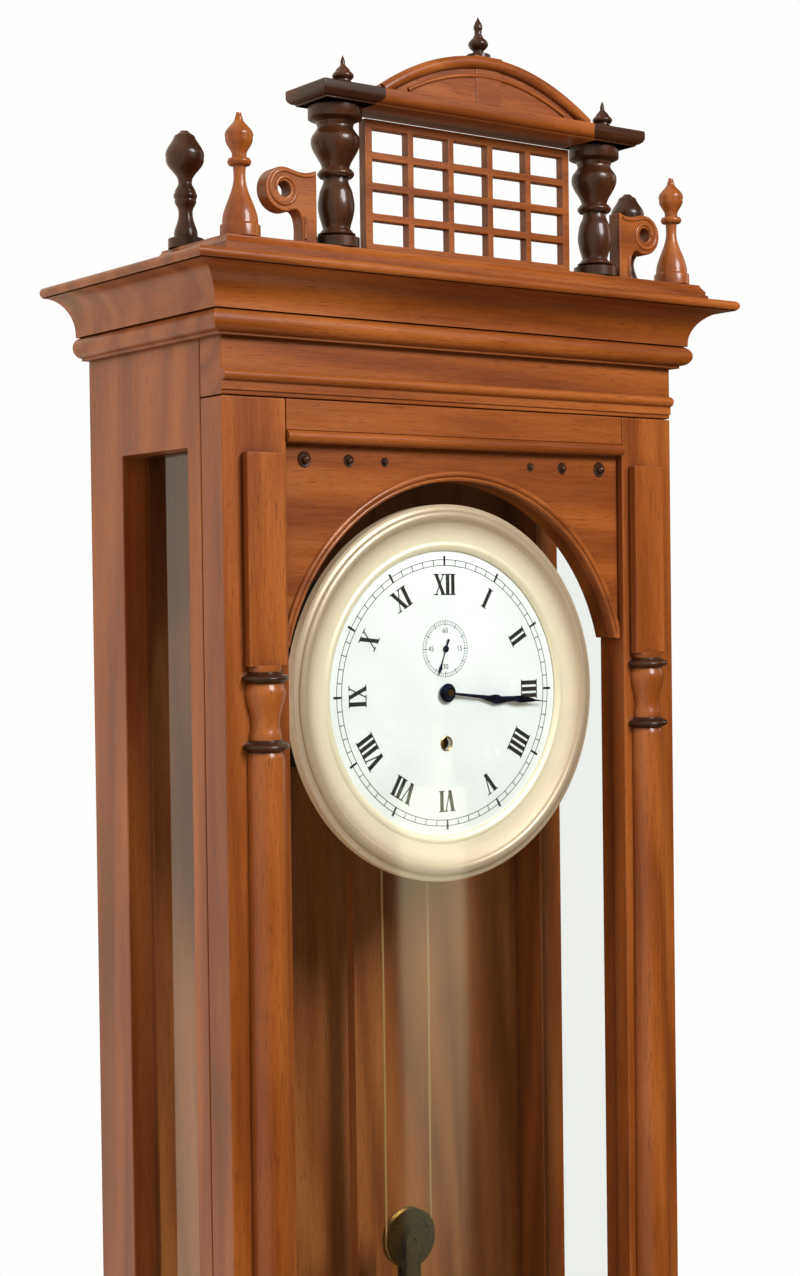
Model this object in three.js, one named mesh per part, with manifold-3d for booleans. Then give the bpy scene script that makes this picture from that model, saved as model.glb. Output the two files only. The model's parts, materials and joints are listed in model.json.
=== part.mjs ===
// A wall-hung regulator clock with one weight, in millimetres, +Z up.
// The origin lies on the back face of the backboard, behind the middle of the dial.
// The clock faces -Y, its back lies against the wall at Y = 0, and +X is at its right.
import * as THREE from 'three';
import { mergeVertices } from 'three/addons/utils/BufferGeometryUtils.js';
import Module from 'manifold-3d';

const wasm = await Module();
wasm.setup();

// Clearances and cuts
const seat_gap = 0.3;
const running_gap = 0.15;
const cut_overrun = 2;

// Case
const body_width = 330;
const board_thickness = 14;
const side_thickness = 18;
const door_thickness = 22;
const door_gap = 0.5;
const door_top = 166;
const side_window_margin_front = 13.5;
const side_window_margin_back = 39;
const side_window_top = 140;
const side_window_foot = 60;
const side_glass_inset = 1.5;
const glass_thickness = 2;
const frieze_bead_bottom = 169;
const frieze_bead_height = 12;
const frieze_bead_proud = 4;

// Cornice, which runs round the front and both sides
const cornice_bottom = 198;
const cornice_height = 41;
const cornice_overhang = 31;
const cornice_lip = 6;
const cornice_fillet = 3;
const astragal_radius = 6;
const astragal_proud = 10;
const top_board_thickness = 12;

// Cresting on the cornice
const crest_base_margin = 20;
const crest_base_front = 172;
const crest_base_depth = 76;
const crest_base_height = 9;
const crest_post_inset = 81;
const crest_post_height = 77;
const crest_post_radius = 15;
const crest_plane = 157;
const lattice_post_gap = 20;
const lattice_height = 74;
const lattice_thickness = 6;
const lattice_frame = 5;
const lattice_bar = 4;
const lattice_columns = 5;
const lattice_rows = 4;
const eave_reach = 22;
const eave_front = 179;
const eave_depth = 38;
const eave_height = 9;
const eave_lip_height = 4;
const eave_lip_proud = 4;
const pediment_inset = 39;
const pediment_rise = 28;
const pediment_setback = 2;
const pediment_depth = 24;
const pediment_recess = 4;
const pediment_border = 7;
const pediment_block_half_width = 9;
const eave_cap_radius = 8;
const eave_cap_height = 18;
const top_finial_height = 25;
const top_finial_radius = 7;
const wing_post_gap = 1;
const wing_inset = 32;
const wing_height = 40;
const wing_foot_width = 10;
const wing_thickness = 12;
const wing_volute_radius = 12;
const wing_eye_radius = 4;
const corner_finial_inset_x = 18;
const corner_finial_inset_y = 14;
const corner_finial_height = 66;
const corner_finial_radius = 12;
const side_finial_inset_x = 12;
const side_finial_inset_y = 60;
const side_finial_height = 64;

// Base moulding and bottom drop
const base_height = 40;
const base_overhang = 24;
const drop_side_inset = 15;
const drop_front_inset = 13;
const drop_foot_half_width = 42;
const drop_foot_front = 46;
const drop_height = 76;
const drop_finial_height = 66;
const drop_finial_radius = 20;

// Door
const stile_width = 41;
const spandrel_foot = 30;
const spandrel_recess = 5;
const top_band_height = 17;
const rail_bead_height = 7;
const rail_bead_proud = 3;
const archivolt_width = 6;
const archivolt_proud = 3;
const bottom_rail_height = 60;
const bottom_panel_margin = 12;
const bottom_panel_recess = 3;
const door_glass_setback = 11;
const column_inset = 24;
const column_radius = 12;
const column_capital_radius = 14;
const column_top = 136;
const capital_top = 14;
const capital_bottom = -23;
const column_foot = 64;
const hinge_length = 44;
const hinge_leaf_width = 11;
const hinge_leaf_thickness = 1.5;
const hinge_knuckle_radius = 3.3;
const hinge_pin_radius = 1.5;
const hinge_end_share = 0.28;
const hinge_upper_bottom = 80;
const hinge_lower_foot = 76;
const latch_foot = 30;
const latch_knob_radius = 8;
const latch_knob_length = 15;
const latch_spindle_radius = 2.5;
const latch_cam_length = 15;
const latch_cam_width = 6;
const latch_cam_thickness = 2;

// Dial and hands
const dial_lap = 4;
const dial_thickness = 3;
const dial_setback = 20.5;
const dial_foot_radius = 2;
const dial_foot_x = 30;
const dial_foot_z = 42;
const dial_centre_hole_radius = 4.6;
const winding_hole_radius = 3.6;
const seconds_hole_radius = 1.4;
const bezel_clearance = 13;
const bezel_width = 27;
const bezel_front_rise = 6;
const bezel_lip = 1.2;
const minute_hand_clearance = 10;
const hour_hand_share = 0.68;
const seconds_hand_length = 17;
const hand_thickness = 0.8;
const hand_spacing = 1.8;
const seconds_hand_rise = 0.7;
const seconds_hand_thickness = 0.5;
const minute_rest_degrees = 96;
const hour_rest_degrees = 98;
const seconds_rest_degrees = 200;

// Movement frame
const plate_half_width = 36;
const plate_top = 60;
const plate_bottom = -70;
const plate_thickness = 2.5;
const plate_spacing = 38;
const motion_work_room = 9;
const pillar_radius = 3;
const pillar_x = 30;
const pillar_top = 53;
const pillar_bottom = -56;
const line_bar_radius = 2;
const line_bar_x = 17.5;
const line_bar_z = -65;

// Train: tooth counts, modules and arbors
const great_teeth = 144;
const centre_pinion_leaves = 10;
const winding_z = -30;
const centre_teeth = 80;
const third_pinion_leaves = 10;
const centre_module = 0.45;
const third_teeth = 76;
const escape_pinion_leaves = 8;
const third_module = 0.42;
const seconds_z = 26;
const escape_teeth = 30;
const escape_radius = 15.5;
const escape_tooth_depth = 3.2;
const cannon_leaves = 12;
const minute_wheel_teeth = 36;
const minute_pinion_leaves = 8;
const hour_wheel_teeth = 32;
const cannon_module = 0.42;
const wheel_thickness = 1.5;
const great_thickness = 2;
const pinion_length = 5;
const arbor_radius = 1.2;
const seconds_arbor_radius = 0.6;
const minute_stud_radius = 1;
const cannon_pipe_radius = 2;
const hour_pipe_wall = 1;
const great_depth = 2.5;
const centre_depth = 10;
const third_depth = 18;
const escape_depth = 26;
const barrel_radius = 9;
const barrel_flange_radius = 12;
const ratchet_radius = 10.5;
const ratchet_teeth = 20;
const ratchet_thickness = 1.4;
const barrel_arbor_radius = 2.4;
const winding_square_half = 1.7;
const winding_square_setback = 1.5;

// Pallets and crutch
const pallet_swing_room = 1;
const anchor_band = 3;
const anchor_reach = 3.5;
const anchor_thickness = 2.4;
const pallet_degrees = 45;
const nib_degrees = 6;
const pallet_hub_radius = 4;
const crutch_drop = 120;
const crutch_width = 4;
const crutch_thickness = 3;
const crutch_setback = 7;
const crutch_prong = 2;

// Pendulum
const pendulum_y = 36;
const pendulum_gap = 36.5;
const room_below_bob = 58.3;
const pendulum_length = 619.6;
const rod_width = 14;
const rod_depth = 8;
const spring_width = 10;
const spring_thickness = 0.5;
const spring_length = 20;
const spring_pin_radius = 1.5;
const spring_pin_length = 18;
const spring_block_height = 8;
const bob_radius = 70;
const bob_thickness = 30;
const bob_rim = 3;
const rating_nut_radius = 9;
const rating_nut_height = 6;
const rating_screw_radius = 2;
const rating_screw_length = 26;

// Movement bracket on the backboard
const bracket_plate_thickness = 5;
const bracket_half_width = 44;
const bracket_top = 68;
const bracket_bottom = -48;
const bracket_arm_width = 6;
const bracket_arm_height = 18;
const bracket_lower_arm_bottom = -34;
const bracket_upper_arm_bottom = 18;
const cock_half_width = 8;
const cock_cheek = 3.5;
const cock_height = 18;
const cock_below_pin = 8;

// Weight and line
const weight_ahead = 9;
const weight_radius = 24;
const weight_length = 140;
const pulley_z = -334;
const pulley_radius = 18;
const pulley_groove_radius = 15.6;
const pulley_thickness = 6;
const pulley_axle_radius = 2;
const stirrup_thickness = 2;
const stirrup_width = 10;
const stirrup_drop = 30;
const line_radius = 0.7;

// Wall plate let into the back of the backboard
const wall_plate_width = 50;
const wall_plate_height = 40;
const wall_plate_thickness = 3;
const wall_plate_z = 198;
const keyhole_radius = 6;
const keyhole_slot_radius = 3;
const keyhole_rise = 10;

// Numbers of steps on round shapes
const fine_sides = 48;
const round_sides = 20;
const small_sides = 12;
const arc_steps = 4;
const line_sides = 6;
const line_arc_steps = 16;

// Places that follow from the sizes above
const body_half = body_width / 2;
const body_depth = dial_setback + dial_thickness + motion_work_room + plate_thickness * 2 + plate_spacing
  + pendulum_gap + pendulum_y;
const pallet_z = seconds_z + escape_radius * Math.SQRT2;
const bob_z = pallet_z - pendulum_length;
const bob_bottom = bob_z - bob_radius;
const door_bottom = bob_bottom - room_below_bob;
const side_window_bottom = door_bottom + side_window_foot;
const column_bottom = door_bottom + column_foot;
const hinge_lower_bottom = door_bottom + hinge_lower_foot;
const latch_height = door_bottom + latch_foot;
const crest_base_half_width = body_half + cornice_overhang - crest_base_margin;
const crest_post_x = crest_base_half_width - crest_post_inset;
const lattice_half_width = crest_post_x - lattice_post_gap;
const eave_half_width = crest_post_x + eave_reach;
const pediment_half_width = eave_half_width - pediment_inset;
const wing_inner_x = crest_post_x + crest_post_radius + wing_post_gap;
const wing_outer_x = crest_base_half_width - wing_inset;
const drop_top_half_width = body_half - drop_side_inset;
const drop_top_front = body_depth - drop_front_inset;
const body_front = -body_depth;
const door_back = body_front + door_thickness;
const side_front = door_back + door_gap;
const side_inner = body_half - side_thickness;
const cornice_top = cornice_bottom + cornice_height;
const top_board_bottom = cornice_top - top_board_thickness;
const side_top = top_board_bottom - seat_gap;
const crest_floor = cornice_top + seat_gap;
const crest_shelf = crest_floor + crest_base_height + seat_gap;
const eave_bottom = crest_shelf + crest_post_height + seat_gap;
const pediment_bottom = eave_bottom + eave_height;
const pediment_top = pediment_bottom + pediment_rise;
const bottom_board_top = door_bottom - seat_gap * 2;
const bottom_board_bottom = bottom_board_top - board_thickness;
const base_bottom = bottom_board_top - base_height;
const drop_bottom = base_bottom - drop_height;
const stile_inner = body_half - stile_width;
const arch_radius = stile_inner;
const bezel_outer_radius = arch_radius - bezel_clearance;
const bezel_inner_radius = bezel_outer_radius - bezel_width;
const dial_radius = bezel_inner_radius + dial_lap;
const minute_hand_length = bezel_inner_radius - minute_hand_clearance;
const dial_front = body_front + dial_setback;
const dial_back = dial_front + dial_thickness;
const plate_front = dial_back + motion_work_room;
const front_plate_back = plate_front + plate_thickness;
const back_plate_front = front_plate_back + plate_spacing;
const back_plate_back = back_plate_front + plate_thickness;
const weight_y = weight_ahead - back_plate_front;
const centre_to_third = centre_module * (centre_teeth + third_pinion_leaves) / 2;
const third_to_seconds = third_module * (third_teeth + escape_pinion_leaves) / 2;
const third_z = (centre_to_third ** 2 - third_to_seconds ** 2 + seconds_z ** 2) / (2 * seconds_z);
const third_x = Math.sqrt(centre_to_third ** 2 - third_z ** 2);
const great_module = 2 * -winding_z / (great_teeth + centre_pinion_leaves);
const minute_wheel_x = -cannon_module * (cannon_leaves + minute_wheel_teeth) / 2;
const hour_module = 2 * -minute_wheel_x / (minute_pinion_leaves + hour_wheel_teeth);
const pendulum_rod_top = pallet_z - spring_length - spring_block_height - seat_gap;
const hinge_x = body_half + hinge_knuckle_radius + door_gap;
const hinge_y = door_back + door_gap / 2;
const latch_x = -(body_half - column_inset);

// Materials
const finish = (color, roughness, metalness = 0, opacity = 1) =>
  () => new THREE.MeshStandardMaterial({ color, roughness, metalness, opacity, transparent: opacity < 1 });
const case_wood = finish(0x91501f, 0.45);
const dark_wood = finish(0x4a2512, 0.5);
const inner_wood = finish(0x61411c, 0.6);
const glass = finish(0xdfe8e2, 0.08, 0, 0.3);
const brass = finish(0xb9994f, 0.3, 1);
const pale_brass = finish(0xd8c9a0, 0.35, 1);
const enamel = finish(0xeef2ec, 0.2);
const blued_steel = finish(0x23283a, 0.35, 1);
const steel = finish(0x8b8d90, 0.4, 1);
const iron = finish(0x35332f, 0.7, 1);
const gut = finish(0x9a7b45, 0.7);

// Welds a geometry into one closed body that faces outward
function weld(geometry) {
  const bare = geometry.clone();
  bare.deleteAttribute('normal');
  bare.deleteAttribute('uv');
  const merged = mergeVertices(bare, 1e-4);
  const at = merged.attributes.position;
  const faces = [];
  let volume = 0;
  const [a, b, c] = [new THREE.Vector3(), new THREE.Vector3(), new THREE.Vector3()];
  for (let i = 0; i < merged.index.count; i += 3) {
    const [p, q, r] = [merged.index.getX(i), merged.index.getX(i + 1), merged.index.getX(i + 2)];
    if (p === q || q === r || r === p) continue;
    faces.push(p, q, r);
    a.fromBufferAttribute(at, p);
    b.fromBufferAttribute(at, q);
    c.fromBufferAttribute(at, r);
    volume += a.dot(b.cross(c));
  }
  if (volume < 0) faces.reverse();
  return { vertProperties: new Float32Array(at.array), triVerts: new Uint32Array(faces) };
}

function solid(geometry) {
  const mesh = weld(geometry);
  return new wasm.Manifold(new wasm.Mesh({ numProp: 3, ...mesh }));
}

const join = (...solids) => solids.reduce((whole, next) => whole.add(next));
const cut = (whole, ...tools) => tools.reduce((rest, tool) => rest.subtract(tool), whole);

// A block between two corners
function block(x0, x1, y0, y1, z0, z1) {
  const geometry = new THREE.BoxGeometry(Math.abs(x1 - x0), Math.abs(y1 - y0), Math.abs(z1 - z0));
  return solid(geometry.translate((x0 + x1) / 2, (y0 + y1) / 2, (z0 + z1) / 2));
}

// An outline in X and Z, drawn out along Y
function slab(shape, y0, y1, curveSegments = small_sides) {
  const geometry = new THREE.ExtrudeGeometry(shape, { depth: y1 - y0, bevelEnabled: false, curveSegments });
  return solid(geometry.rotateX(Math.PI / 2).translate(0, y1, 0));
}

// An outline in Y and Z, drawn out along X
function run(shape, x0, x1) {
  const geometry = new THREE.ExtrudeGeometry(shape, { depth: x1 - x0, bevelEnabled: false, curveSegments: small_sides });
  const turn = new THREE.Matrix4().makeBasis(
    new THREE.Vector3(0, 1, 0), new THREE.Vector3(0, 0, 1), new THREE.Vector3(1, 0, 0));
  return solid(geometry.applyMatrix4(turn).translate(x0, 0, 0));
}

const points = (list) => list.map(([u, v]) => new THREE.Vector2(u, v));
const outline = (list) => new THREE.Shape(points(list));

// Profiles are lists of [radius, height]
function turned(profile, x, y, z, sides = round_sides) {
  return solid(new THREE.LatheGeometry(points(profile), sides).rotateX(Math.PI / 2).translate(x, y, z));
}

function turned_on_y(profile, x, z, sides = round_sides) {
  return solid(new THREE.LatheGeometry(points(profile), sides).translate(x, 0, z));
}

// A round bar along Y, and one along Z
const rod_y = (radius, x, z, y0, y1, sides = small_sides) =>
  turned_on_y([[0, y0], [radius, y0], [radius, y1], [0, y1]], x, z, sides);
const rod_z = (radius, x, y, z0, z1, sides = small_sides) =>
  turned([[0, z0], [radius, z0], [radius, z1], [0, z1]], x, y, 0, sides);

function arc(x, z, radius, from, to, steps = arc_steps) {
  return Array.from({ length: steps + 1 }, (_, i) => {
    const angle = THREE.MathUtils.degToRad(from + (to - from) * i / steps);
    return [x + radius * Math.cos(angle), z + radius * Math.sin(angle)];
  });
}

// A moulding mitred round the front and both sides; its profile is a list of [outward, z]
function moulding(profile) {
  const inner = body_half + seat_gap;
  const front = body_front - seat_gap;
  const stations = [
    ([out, z]) => [-inner - out, 0, z],
    ([out, z]) => [-inner - out, front - out, z],
    ([out, z]) => [inner + out, front - out, z],
    ([out, z]) => [inner + out, 0, z],
  ];
  return loft(profile.map((p) => points([p])[0]), stations.map((place) => profile.map(place)));
}

// Joins rings of equal length into one body with flat ends; section is the ring's outline
function loft(section, rings) {
  const count = section.length;
  const faces = [];
  for (let s = 0; s + 1 < rings.length; s += 1) {
    for (let i = 0; i < count; i += 1) {
      const [a, b] = [s * count + i, s * count + (i + 1) % count];
      faces.push(a, b, b + count, a, b + count, a + count);
    }
  }
  const last = (rings.length - 1) * count;
  for (const [a, b, c] of THREE.ShapeUtils.triangulateShape(section, [])) {
    faces.push(a, c, b, a + last, b + last, c + last);
  }
  const geometry = new THREE.BufferGeometry();
  geometry.setAttribute('position', new THREE.Float32BufferAttribute(rings.flat(2), 3));
  geometry.setIndex(faces);
  return solid(geometry);
}

// A toothed outline of plain pointed teeth, short enough to run free in mesh
function gear_outline(teeth, module, hole_radius, spokes = 0) {
  const addendum_share = 0.6;
  const dedendum_share = 0.95;
  const pitch = teeth * module / 2;
  const ring = [];
  for (let i = 0; i < teeth; i += 1) {
    const angle = 360 * i / teeth;
    const next = angle + 180 / teeth;
    ring.push(arc(0, 0, pitch + module * addendum_share, angle, angle, 1)[0]);
    ring.push(arc(0, 0, pitch - module * dedendum_share, next, next, 1)[0]);
  }
  const shape = outline(ring);
  if (hole_radius) shape.holes.push(new THREE.Path(points(arc(0, 0, hole_radius, 0, 360, small_sides).slice(1))));
  shape.holes.push(...crossings(spokes, pitch));
  return shape;
}

// The windows between a wheel's spokes
function crossings(spokes, pitch) {
  const rim_share = 0.84;
  const hub_share = 0.3;
  const spoke_share = 0.16;
  return Array.from({ length: spokes }, (_, i) => {
    const pitch_angle = 360 / spokes;
    const start = i * pitch_angle + pitch_angle * spoke_share / 2;
    const end = (i + 1) * pitch_angle - pitch_angle * spoke_share / 2;
    const inner_start = start + pitch_angle * spoke_share / 2;
    const inner_end = end - pitch_angle * spoke_share / 2;
    const rim = arc(0, 0, pitch * rim_share, start, end);
    const hub = arc(0, 0, pitch * hub_share, inner_end, inner_start, arc_steps / 2);
    return new THREE.Path(points([...rim, ...hub]));
  });
}

// Turns a body in X and Z clockwise, as the clock is read, about a point
const clockwise = (body, degrees, x = 0, z = 0) =>
  body.translate([-x, 0, -z]).rotate([0, degrees, 0]).translate([x, 0, z]);

const clock = new THREE.Group();

function add(name, material, body) {
  const mesh = body.getMesh();
  const geometry = new THREE.BufferGeometry();
  geometry.setAttribute('position', new THREE.Float32BufferAttribute(mesh.vertProperties, 3));
  geometry.setIndex(new THREE.Uint32BufferAttribute(mesh.triVerts, 1));
  geometry.computeVertexNormals();
  const piece = new THREE.Mesh(geometry, material());
  piece.name = name;
  clock.add(piece);
}

const sides = [['left', -1], ['right', 1]];
const mirrored = (body, side) => (side < 0 ? body.mirror([1, 0, 0]) : body);

// Case; the pocket behind the wall plate's keyhole takes the screw's head
function backboard() {
  const half = side_inner - seat_gap;
  const board = block(-half, half, -board_thickness, 0, door_bottom, side_top);
  const recess_half = wall_plate_width / 2 + seat_gap;
  const recess_rise = wall_plate_height / 2 + seat_gap;
  const recess = block(-recess_half, recess_half, -wall_plate_thickness - seat_gap, cut_overrun,
    wall_plate_z - recess_rise, wall_plate_z + recess_rise);
  const mouth_z = wall_plate_z - keyhole_rise / 2;
  const pocket_back = -wall_plate_thickness * 2;
  const pocket_ends = [mouth_z, mouth_z + keyhole_rise].map((z) => rod_y(keyhole_radius, 0, z, pocket_back, 0));
  const pocket = block(-keyhole_radius, keyhole_radius, pocket_back, 0, mouth_z, mouth_z + keyhole_rise);
  return cut(board, recess, pocket, ...pocket_ends);
}

function wall_plate() {
  const low = wall_plate_z - wall_plate_height / 2;
  const plate = block(-wall_plate_width / 2, wall_plate_width / 2, -wall_plate_thickness, 0,
    low, low + wall_plate_height);
  const mouth_z = wall_plate_z - keyhole_rise / 2;
  const mouth = rod_y(keyhole_radius, 0, mouth_z, -wall_plate_thickness - cut_overrun, cut_overrun);
  const slot = block(-keyhole_slot_radius, keyhole_slot_radius, -wall_plate_thickness - cut_overrun, cut_overrun,
    mouth_z, mouth_z + keyhole_rise);
  const slot_end = rod_y(keyhole_slot_radius, 0, mouth_z + keyhole_rise,
    -wall_plate_thickness - cut_overrun, cut_overrun);
  return cut(plate, mouth, slot, slot_end);
}

const window_front = side_front + side_window_margin_front;
const window_back = -side_window_margin_back;

function case_side() {
  const panel = block(side_inner, body_half, side_front, 0, door_bottom, side_top);
  const window = block(side_inner - cut_overrun, body_half + cut_overrun, window_front, window_back,
    side_window_bottom, side_window_top);
  return cut(panel, window);
}

// The slot in the left side's front edge that the latch's cam swings into from below
function latch_slot() {
  const reach = latch_cam_length + door_gap * 2;
  return block(latch_x - reach, latch_x + reach, side_front - cut_overrun,
    side_front + latch_cam_thickness + door_gap * 3, latch_height - reach,
    latch_height + latch_cam_width / 2 + door_gap * 2);
}

function side_glass() {
  const inner = side_inner + side_glass_inset;
  return block(inner, inner + glass_thickness, window_front + seat_gap, window_back - seat_gap,
    side_window_bottom + seat_gap, side_window_top - seat_gap);
}

function frieze() {
  const bottom = door_top + door_gap;
  const back = side_front - seat_gap;
  const board = block(-body_half, body_half, body_front, back, bottom, side_top);
  const bead_middle = frieze_bead_bottom + frieze_bead_height / 2;
  const bead = outline([
    [body_front + frieze_bead_proud, frieze_bead_bottom],
    [body_front, frieze_bead_bottom],
    [body_front - frieze_bead_proud, bead_middle],
    [body_front - frieze_bead_proud, bead_middle + frieze_bead_height / 4],
    [body_front, frieze_bead_bottom + frieze_bead_height],
    [body_front + frieze_bead_proud, frieze_bead_bottom + frieze_bead_height],
  ]);
  return join(board, run(bead, -body_half, body_half));
}

function cornice() {
  const bead_z = cornice_bottom + astragal_radius * 1.25;
  const bead_out = astragal_proud - astragal_radius;
  const cove_bottom = bead_z + astragal_radius + cornice_fillet / 2;
  const cove_top = cornice_top - cornice_lip;
  const cove_out = cornice_overhang - cornice_fillet;
  const cove = cove_top - cove_bottom;
  return moulding([
    [0, cornice_bottom],
    [bead_out, cornice_bottom],
    ...arc(bead_out, bead_z, astragal_radius, -90, 90),
    [cove_out - cove, cove_bottom],
    ...arc(cove_out, cove_bottom, cove, 180, 90).slice(1),
    [cornice_overhang, cove_top],
    [cornice_overhang, cornice_top],
    [0, cornice_top],
  ]);
}

function base_moulding() {
  const radius = base_height / 4;
  const lip = base_height / 8;
  const middle = bottom_board_top - lip - radius;
  const waist = base_overhang / 3;
  return moulding([
    [0, base_bottom],
    [base_overhang / 2, base_bottom],
    [base_overhang / 2, base_bottom + lip],
    ...arc(waist + radius, middle - radius, radius, 270, 180).slice(1),
    [waist, middle],
    ...arc(base_overhang - radius, middle, radius, 0, 90).slice(1),
    [base_overhang - radius, bottom_board_top - lip],
    [base_overhang, bottom_board_top - lip],
    [base_overhang, bottom_board_top],
    [0, bottom_board_top],
  ]);
}

// The bottom drop narrows in an ogee towards its foot on the wall
function bottom_drop() {
  const stations = 9;
  const rings = Array.from({ length: stations }, (_, i) => {
    const share = i / (stations - 1);
    const swell = 0.5 + 0.5 * Math.cos(Math.PI * share ** 0.8);
    const half = drop_foot_half_width + (drop_top_half_width - drop_foot_half_width) * swell;
    const front = -drop_foot_front - (drop_top_front - drop_foot_front) * swell;
    const z = base_bottom - drop_height * share;
    return [[-half, 0, z], [-half, front, z], [half, front, z], [half, 0, z]];
  });
  const section = points([[-1, 0], [-1, -1], [1, -1], [1, 0]]);
  const tray_top = bottom_board_bottom - seat_gap;
  const tray = block(-body_half, body_half, body_front, 0, base_bottom, tray_top);
  return join(tray, loft(section, rings));
}

// Turned pieces; each height is a share of the piece's height and each radius of its radius
function spindle(shares, radius, height, x, y, z, facets = small_sides) {
  return turned(shares.map(([r, h]) => [r * radius, h * height]), x, y, z, facets);
}

const drop_finial_shares = [
  [0, 0], [0.2, 0.02], [0.34, 0.08], [0.3, 0.14], [0.2, 0.2], [0.55, 0.3], [0.95, 0.46], [1, 0.58],
  [0.8, 0.7], [0.4, 0.78], [0.4, 0.82], [0.85, 0.86], [0.85, 0.92], [0.65, 0.95], [0.65, 1], [0, 1],
];
const corner_finial_shares = [
  [0, 0], [0.95, 0], [0.95, 0.1], [0.8, 0.14], [0.6, 0.34], [0.3, 0.52], [0.3, 0.58], [0.55, 0.61],
  [0.35, 0.66], [0.62, 0.74], [0.68, 0.82], [0.55, 0.9], [0.2, 0.95], [0.12, 1], [0, 1],
];
const side_finial_shares = [
  [0, 0], [0.85, 0], [0.85, 0.09], [0.5, 0.14], [0.36, 0.34], [0.5, 0.5], [0.32, 0.58],
  [0.72, 0.66], [0.96, 0.76], [0.96, 0.86], [0.7, 0.95], [0, 1],
];
const post_shares = [
  [0, 0], [0.85, 0], [0.85, 0.08], [0.55, 0.12], [0.5, 0.2], [0.7, 0.36], [0.55, 0.5], [0.5, 0.56],
  [0.75, 0.66], [0.95, 0.8], [0.7, 0.88], [1, 0.92], [1, 1], [0, 1],
];
const top_finial_shares = [
  [0, 0], [1, 0], [1, 0.12], [0.45, 0.2], [0.8, 0.36], [0.5, 0.5], [0.3, 0.58], [0.3, 0.72], [0, 1],
];

// Cresting
function crest_base() {
  return block(-crest_base_half_width, crest_base_half_width, -crest_base_front,
    crest_base_depth - crest_base_front, crest_floor, crest_floor + crest_base_height);
}

function crest_lattice() {
  const back = -crest_plane + lattice_thickness;
  const bottom = crest_shelf;
  const inner_half = lattice_half_width - lattice_frame;
  const clear_width = (inner_half * 2 - lattice_bar * (lattice_columns - 1)) / lattice_columns;
  const clear_height = (lattice_height - lattice_frame * 2 - lattice_bar * (lattice_rows - 1)) / lattice_rows;
  const windows = [];
  for (let column = 0; column < lattice_columns; column += 1) {
    for (let row = 0; row < lattice_rows; row += 1) {
      const x = -inner_half + column * (clear_width + lattice_bar);
      const z = bottom + lattice_frame + row * (clear_height + lattice_bar);
      windows.push(block(x, x + clear_width, -crest_plane - cut_overrun, back + cut_overrun,
        z, z + clear_height));
    }
  }
  const panel = block(-lattice_half_width, lattice_half_width, -crest_plane, back, bottom,
    bottom + lattice_height);
  return cut(panel, ...windows);
}

// The pediment's upper edge is a flat arch, a parabola over its foot
function pediment_curve(half_width, rise, bottom) {
  const steps = 20;
  const top = Array.from({ length: steps + 1 }, (_, i) => {
    const share = 1 - 2 * i / steps;
    return [half_width * share, bottom + rise * (1 - share ** 2)];
  });
  return outline(top);
}

function pediment() {
  const eave_back = eave_depth - eave_front;
  const front = -eave_front + pediment_setback;
  const middle = front + pediment_depth / 2;
  const sink = eave_lip_height / 2;
  const neck_half = eave_half_width - eave_lip_proud;
  const lip = block(-eave_half_width, eave_half_width, -eave_front, eave_back,
    pediment_bottom - eave_lip_height, pediment_bottom);
  const neck = block(-neck_half, neck_half, -eave_front + eave_lip_proud, eave_back, eave_bottom,
    pediment_bottom - sink);
  const eave = join(lip, neck);
  const body = slab(pediment_curve(pediment_half_width, pediment_rise + sink, pediment_bottom - sink),
    front, front + pediment_depth);
  const recess_rise = pediment_rise - pediment_border * 1.4;
  const recess = slab(pediment_curve(pediment_half_width - pediment_border * 4, recess_rise,
    pediment_bottom + pediment_border / 2), front - cut_overrun, front + pediment_recess);
  const seat = block(-pediment_block_half_width, pediment_block_half_width,
    middle - pediment_block_half_width, middle + pediment_block_half_width,
    pediment_bottom, pediment_top + seat_gap);
  const cap_shares = [[0, 0], [1, 0], [1, 0.2], [0.5, 0.3], [0.7, 0.42], [0.6, 0.55], [0.2, 0.75], [0, 1]];
  const caps = sides.map(([, side]) => spindle(cap_shares, eave_cap_radius, eave_cap_height + sink,
    side * crest_post_x, middle, pediment_bottom - sink));
  return join(cut(join(eave, body), recess), seat, ...caps);
}

const pediment_middle = -eave_front + pediment_setback + pediment_depth / 2;

// A scroll wing stands on a narrow foot beside the post and ends in a volute with a pierced eye
function crest_wing() {
  const shape = new THREE.Shape();
  const bottom = crest_shelf;
  const top = bottom + wing_height;
  const volute_x = wing_outer_x - wing_volute_radius;
  const volute_z = top - wing_volute_radius;
  const foot_x = wing_inner_x + wing_foot_width;
  shape.moveTo(wing_inner_x, bottom);
  shape.lineTo(foot_x, bottom);
  shape.quadraticCurveTo(foot_x - wing_foot_width / 2, volute_z - wing_volute_radius, volute_x, volute_z);
  shape.lineTo(volute_x, top);
  shape.lineTo(wing_inner_x, top);
  const y0 = -crest_plane - wing_thickness / 2;
  const volute = rod_y(wing_volute_radius, volute_x, volute_z, y0, y0 + wing_thickness, round_sides);
  const eye = rod_y(wing_eye_radius, volute_x, volute_z, y0 - cut_overrun, y0 + wing_thickness + cut_overrun);
  return cut(join(slab(shape, y0, y0 + wing_thickness, arc_steps), volute), eye);
}

// Door
function door_stile() {
  return block(stile_inner, body_half, body_front, door_back, door_bottom, door_top);
}

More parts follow.
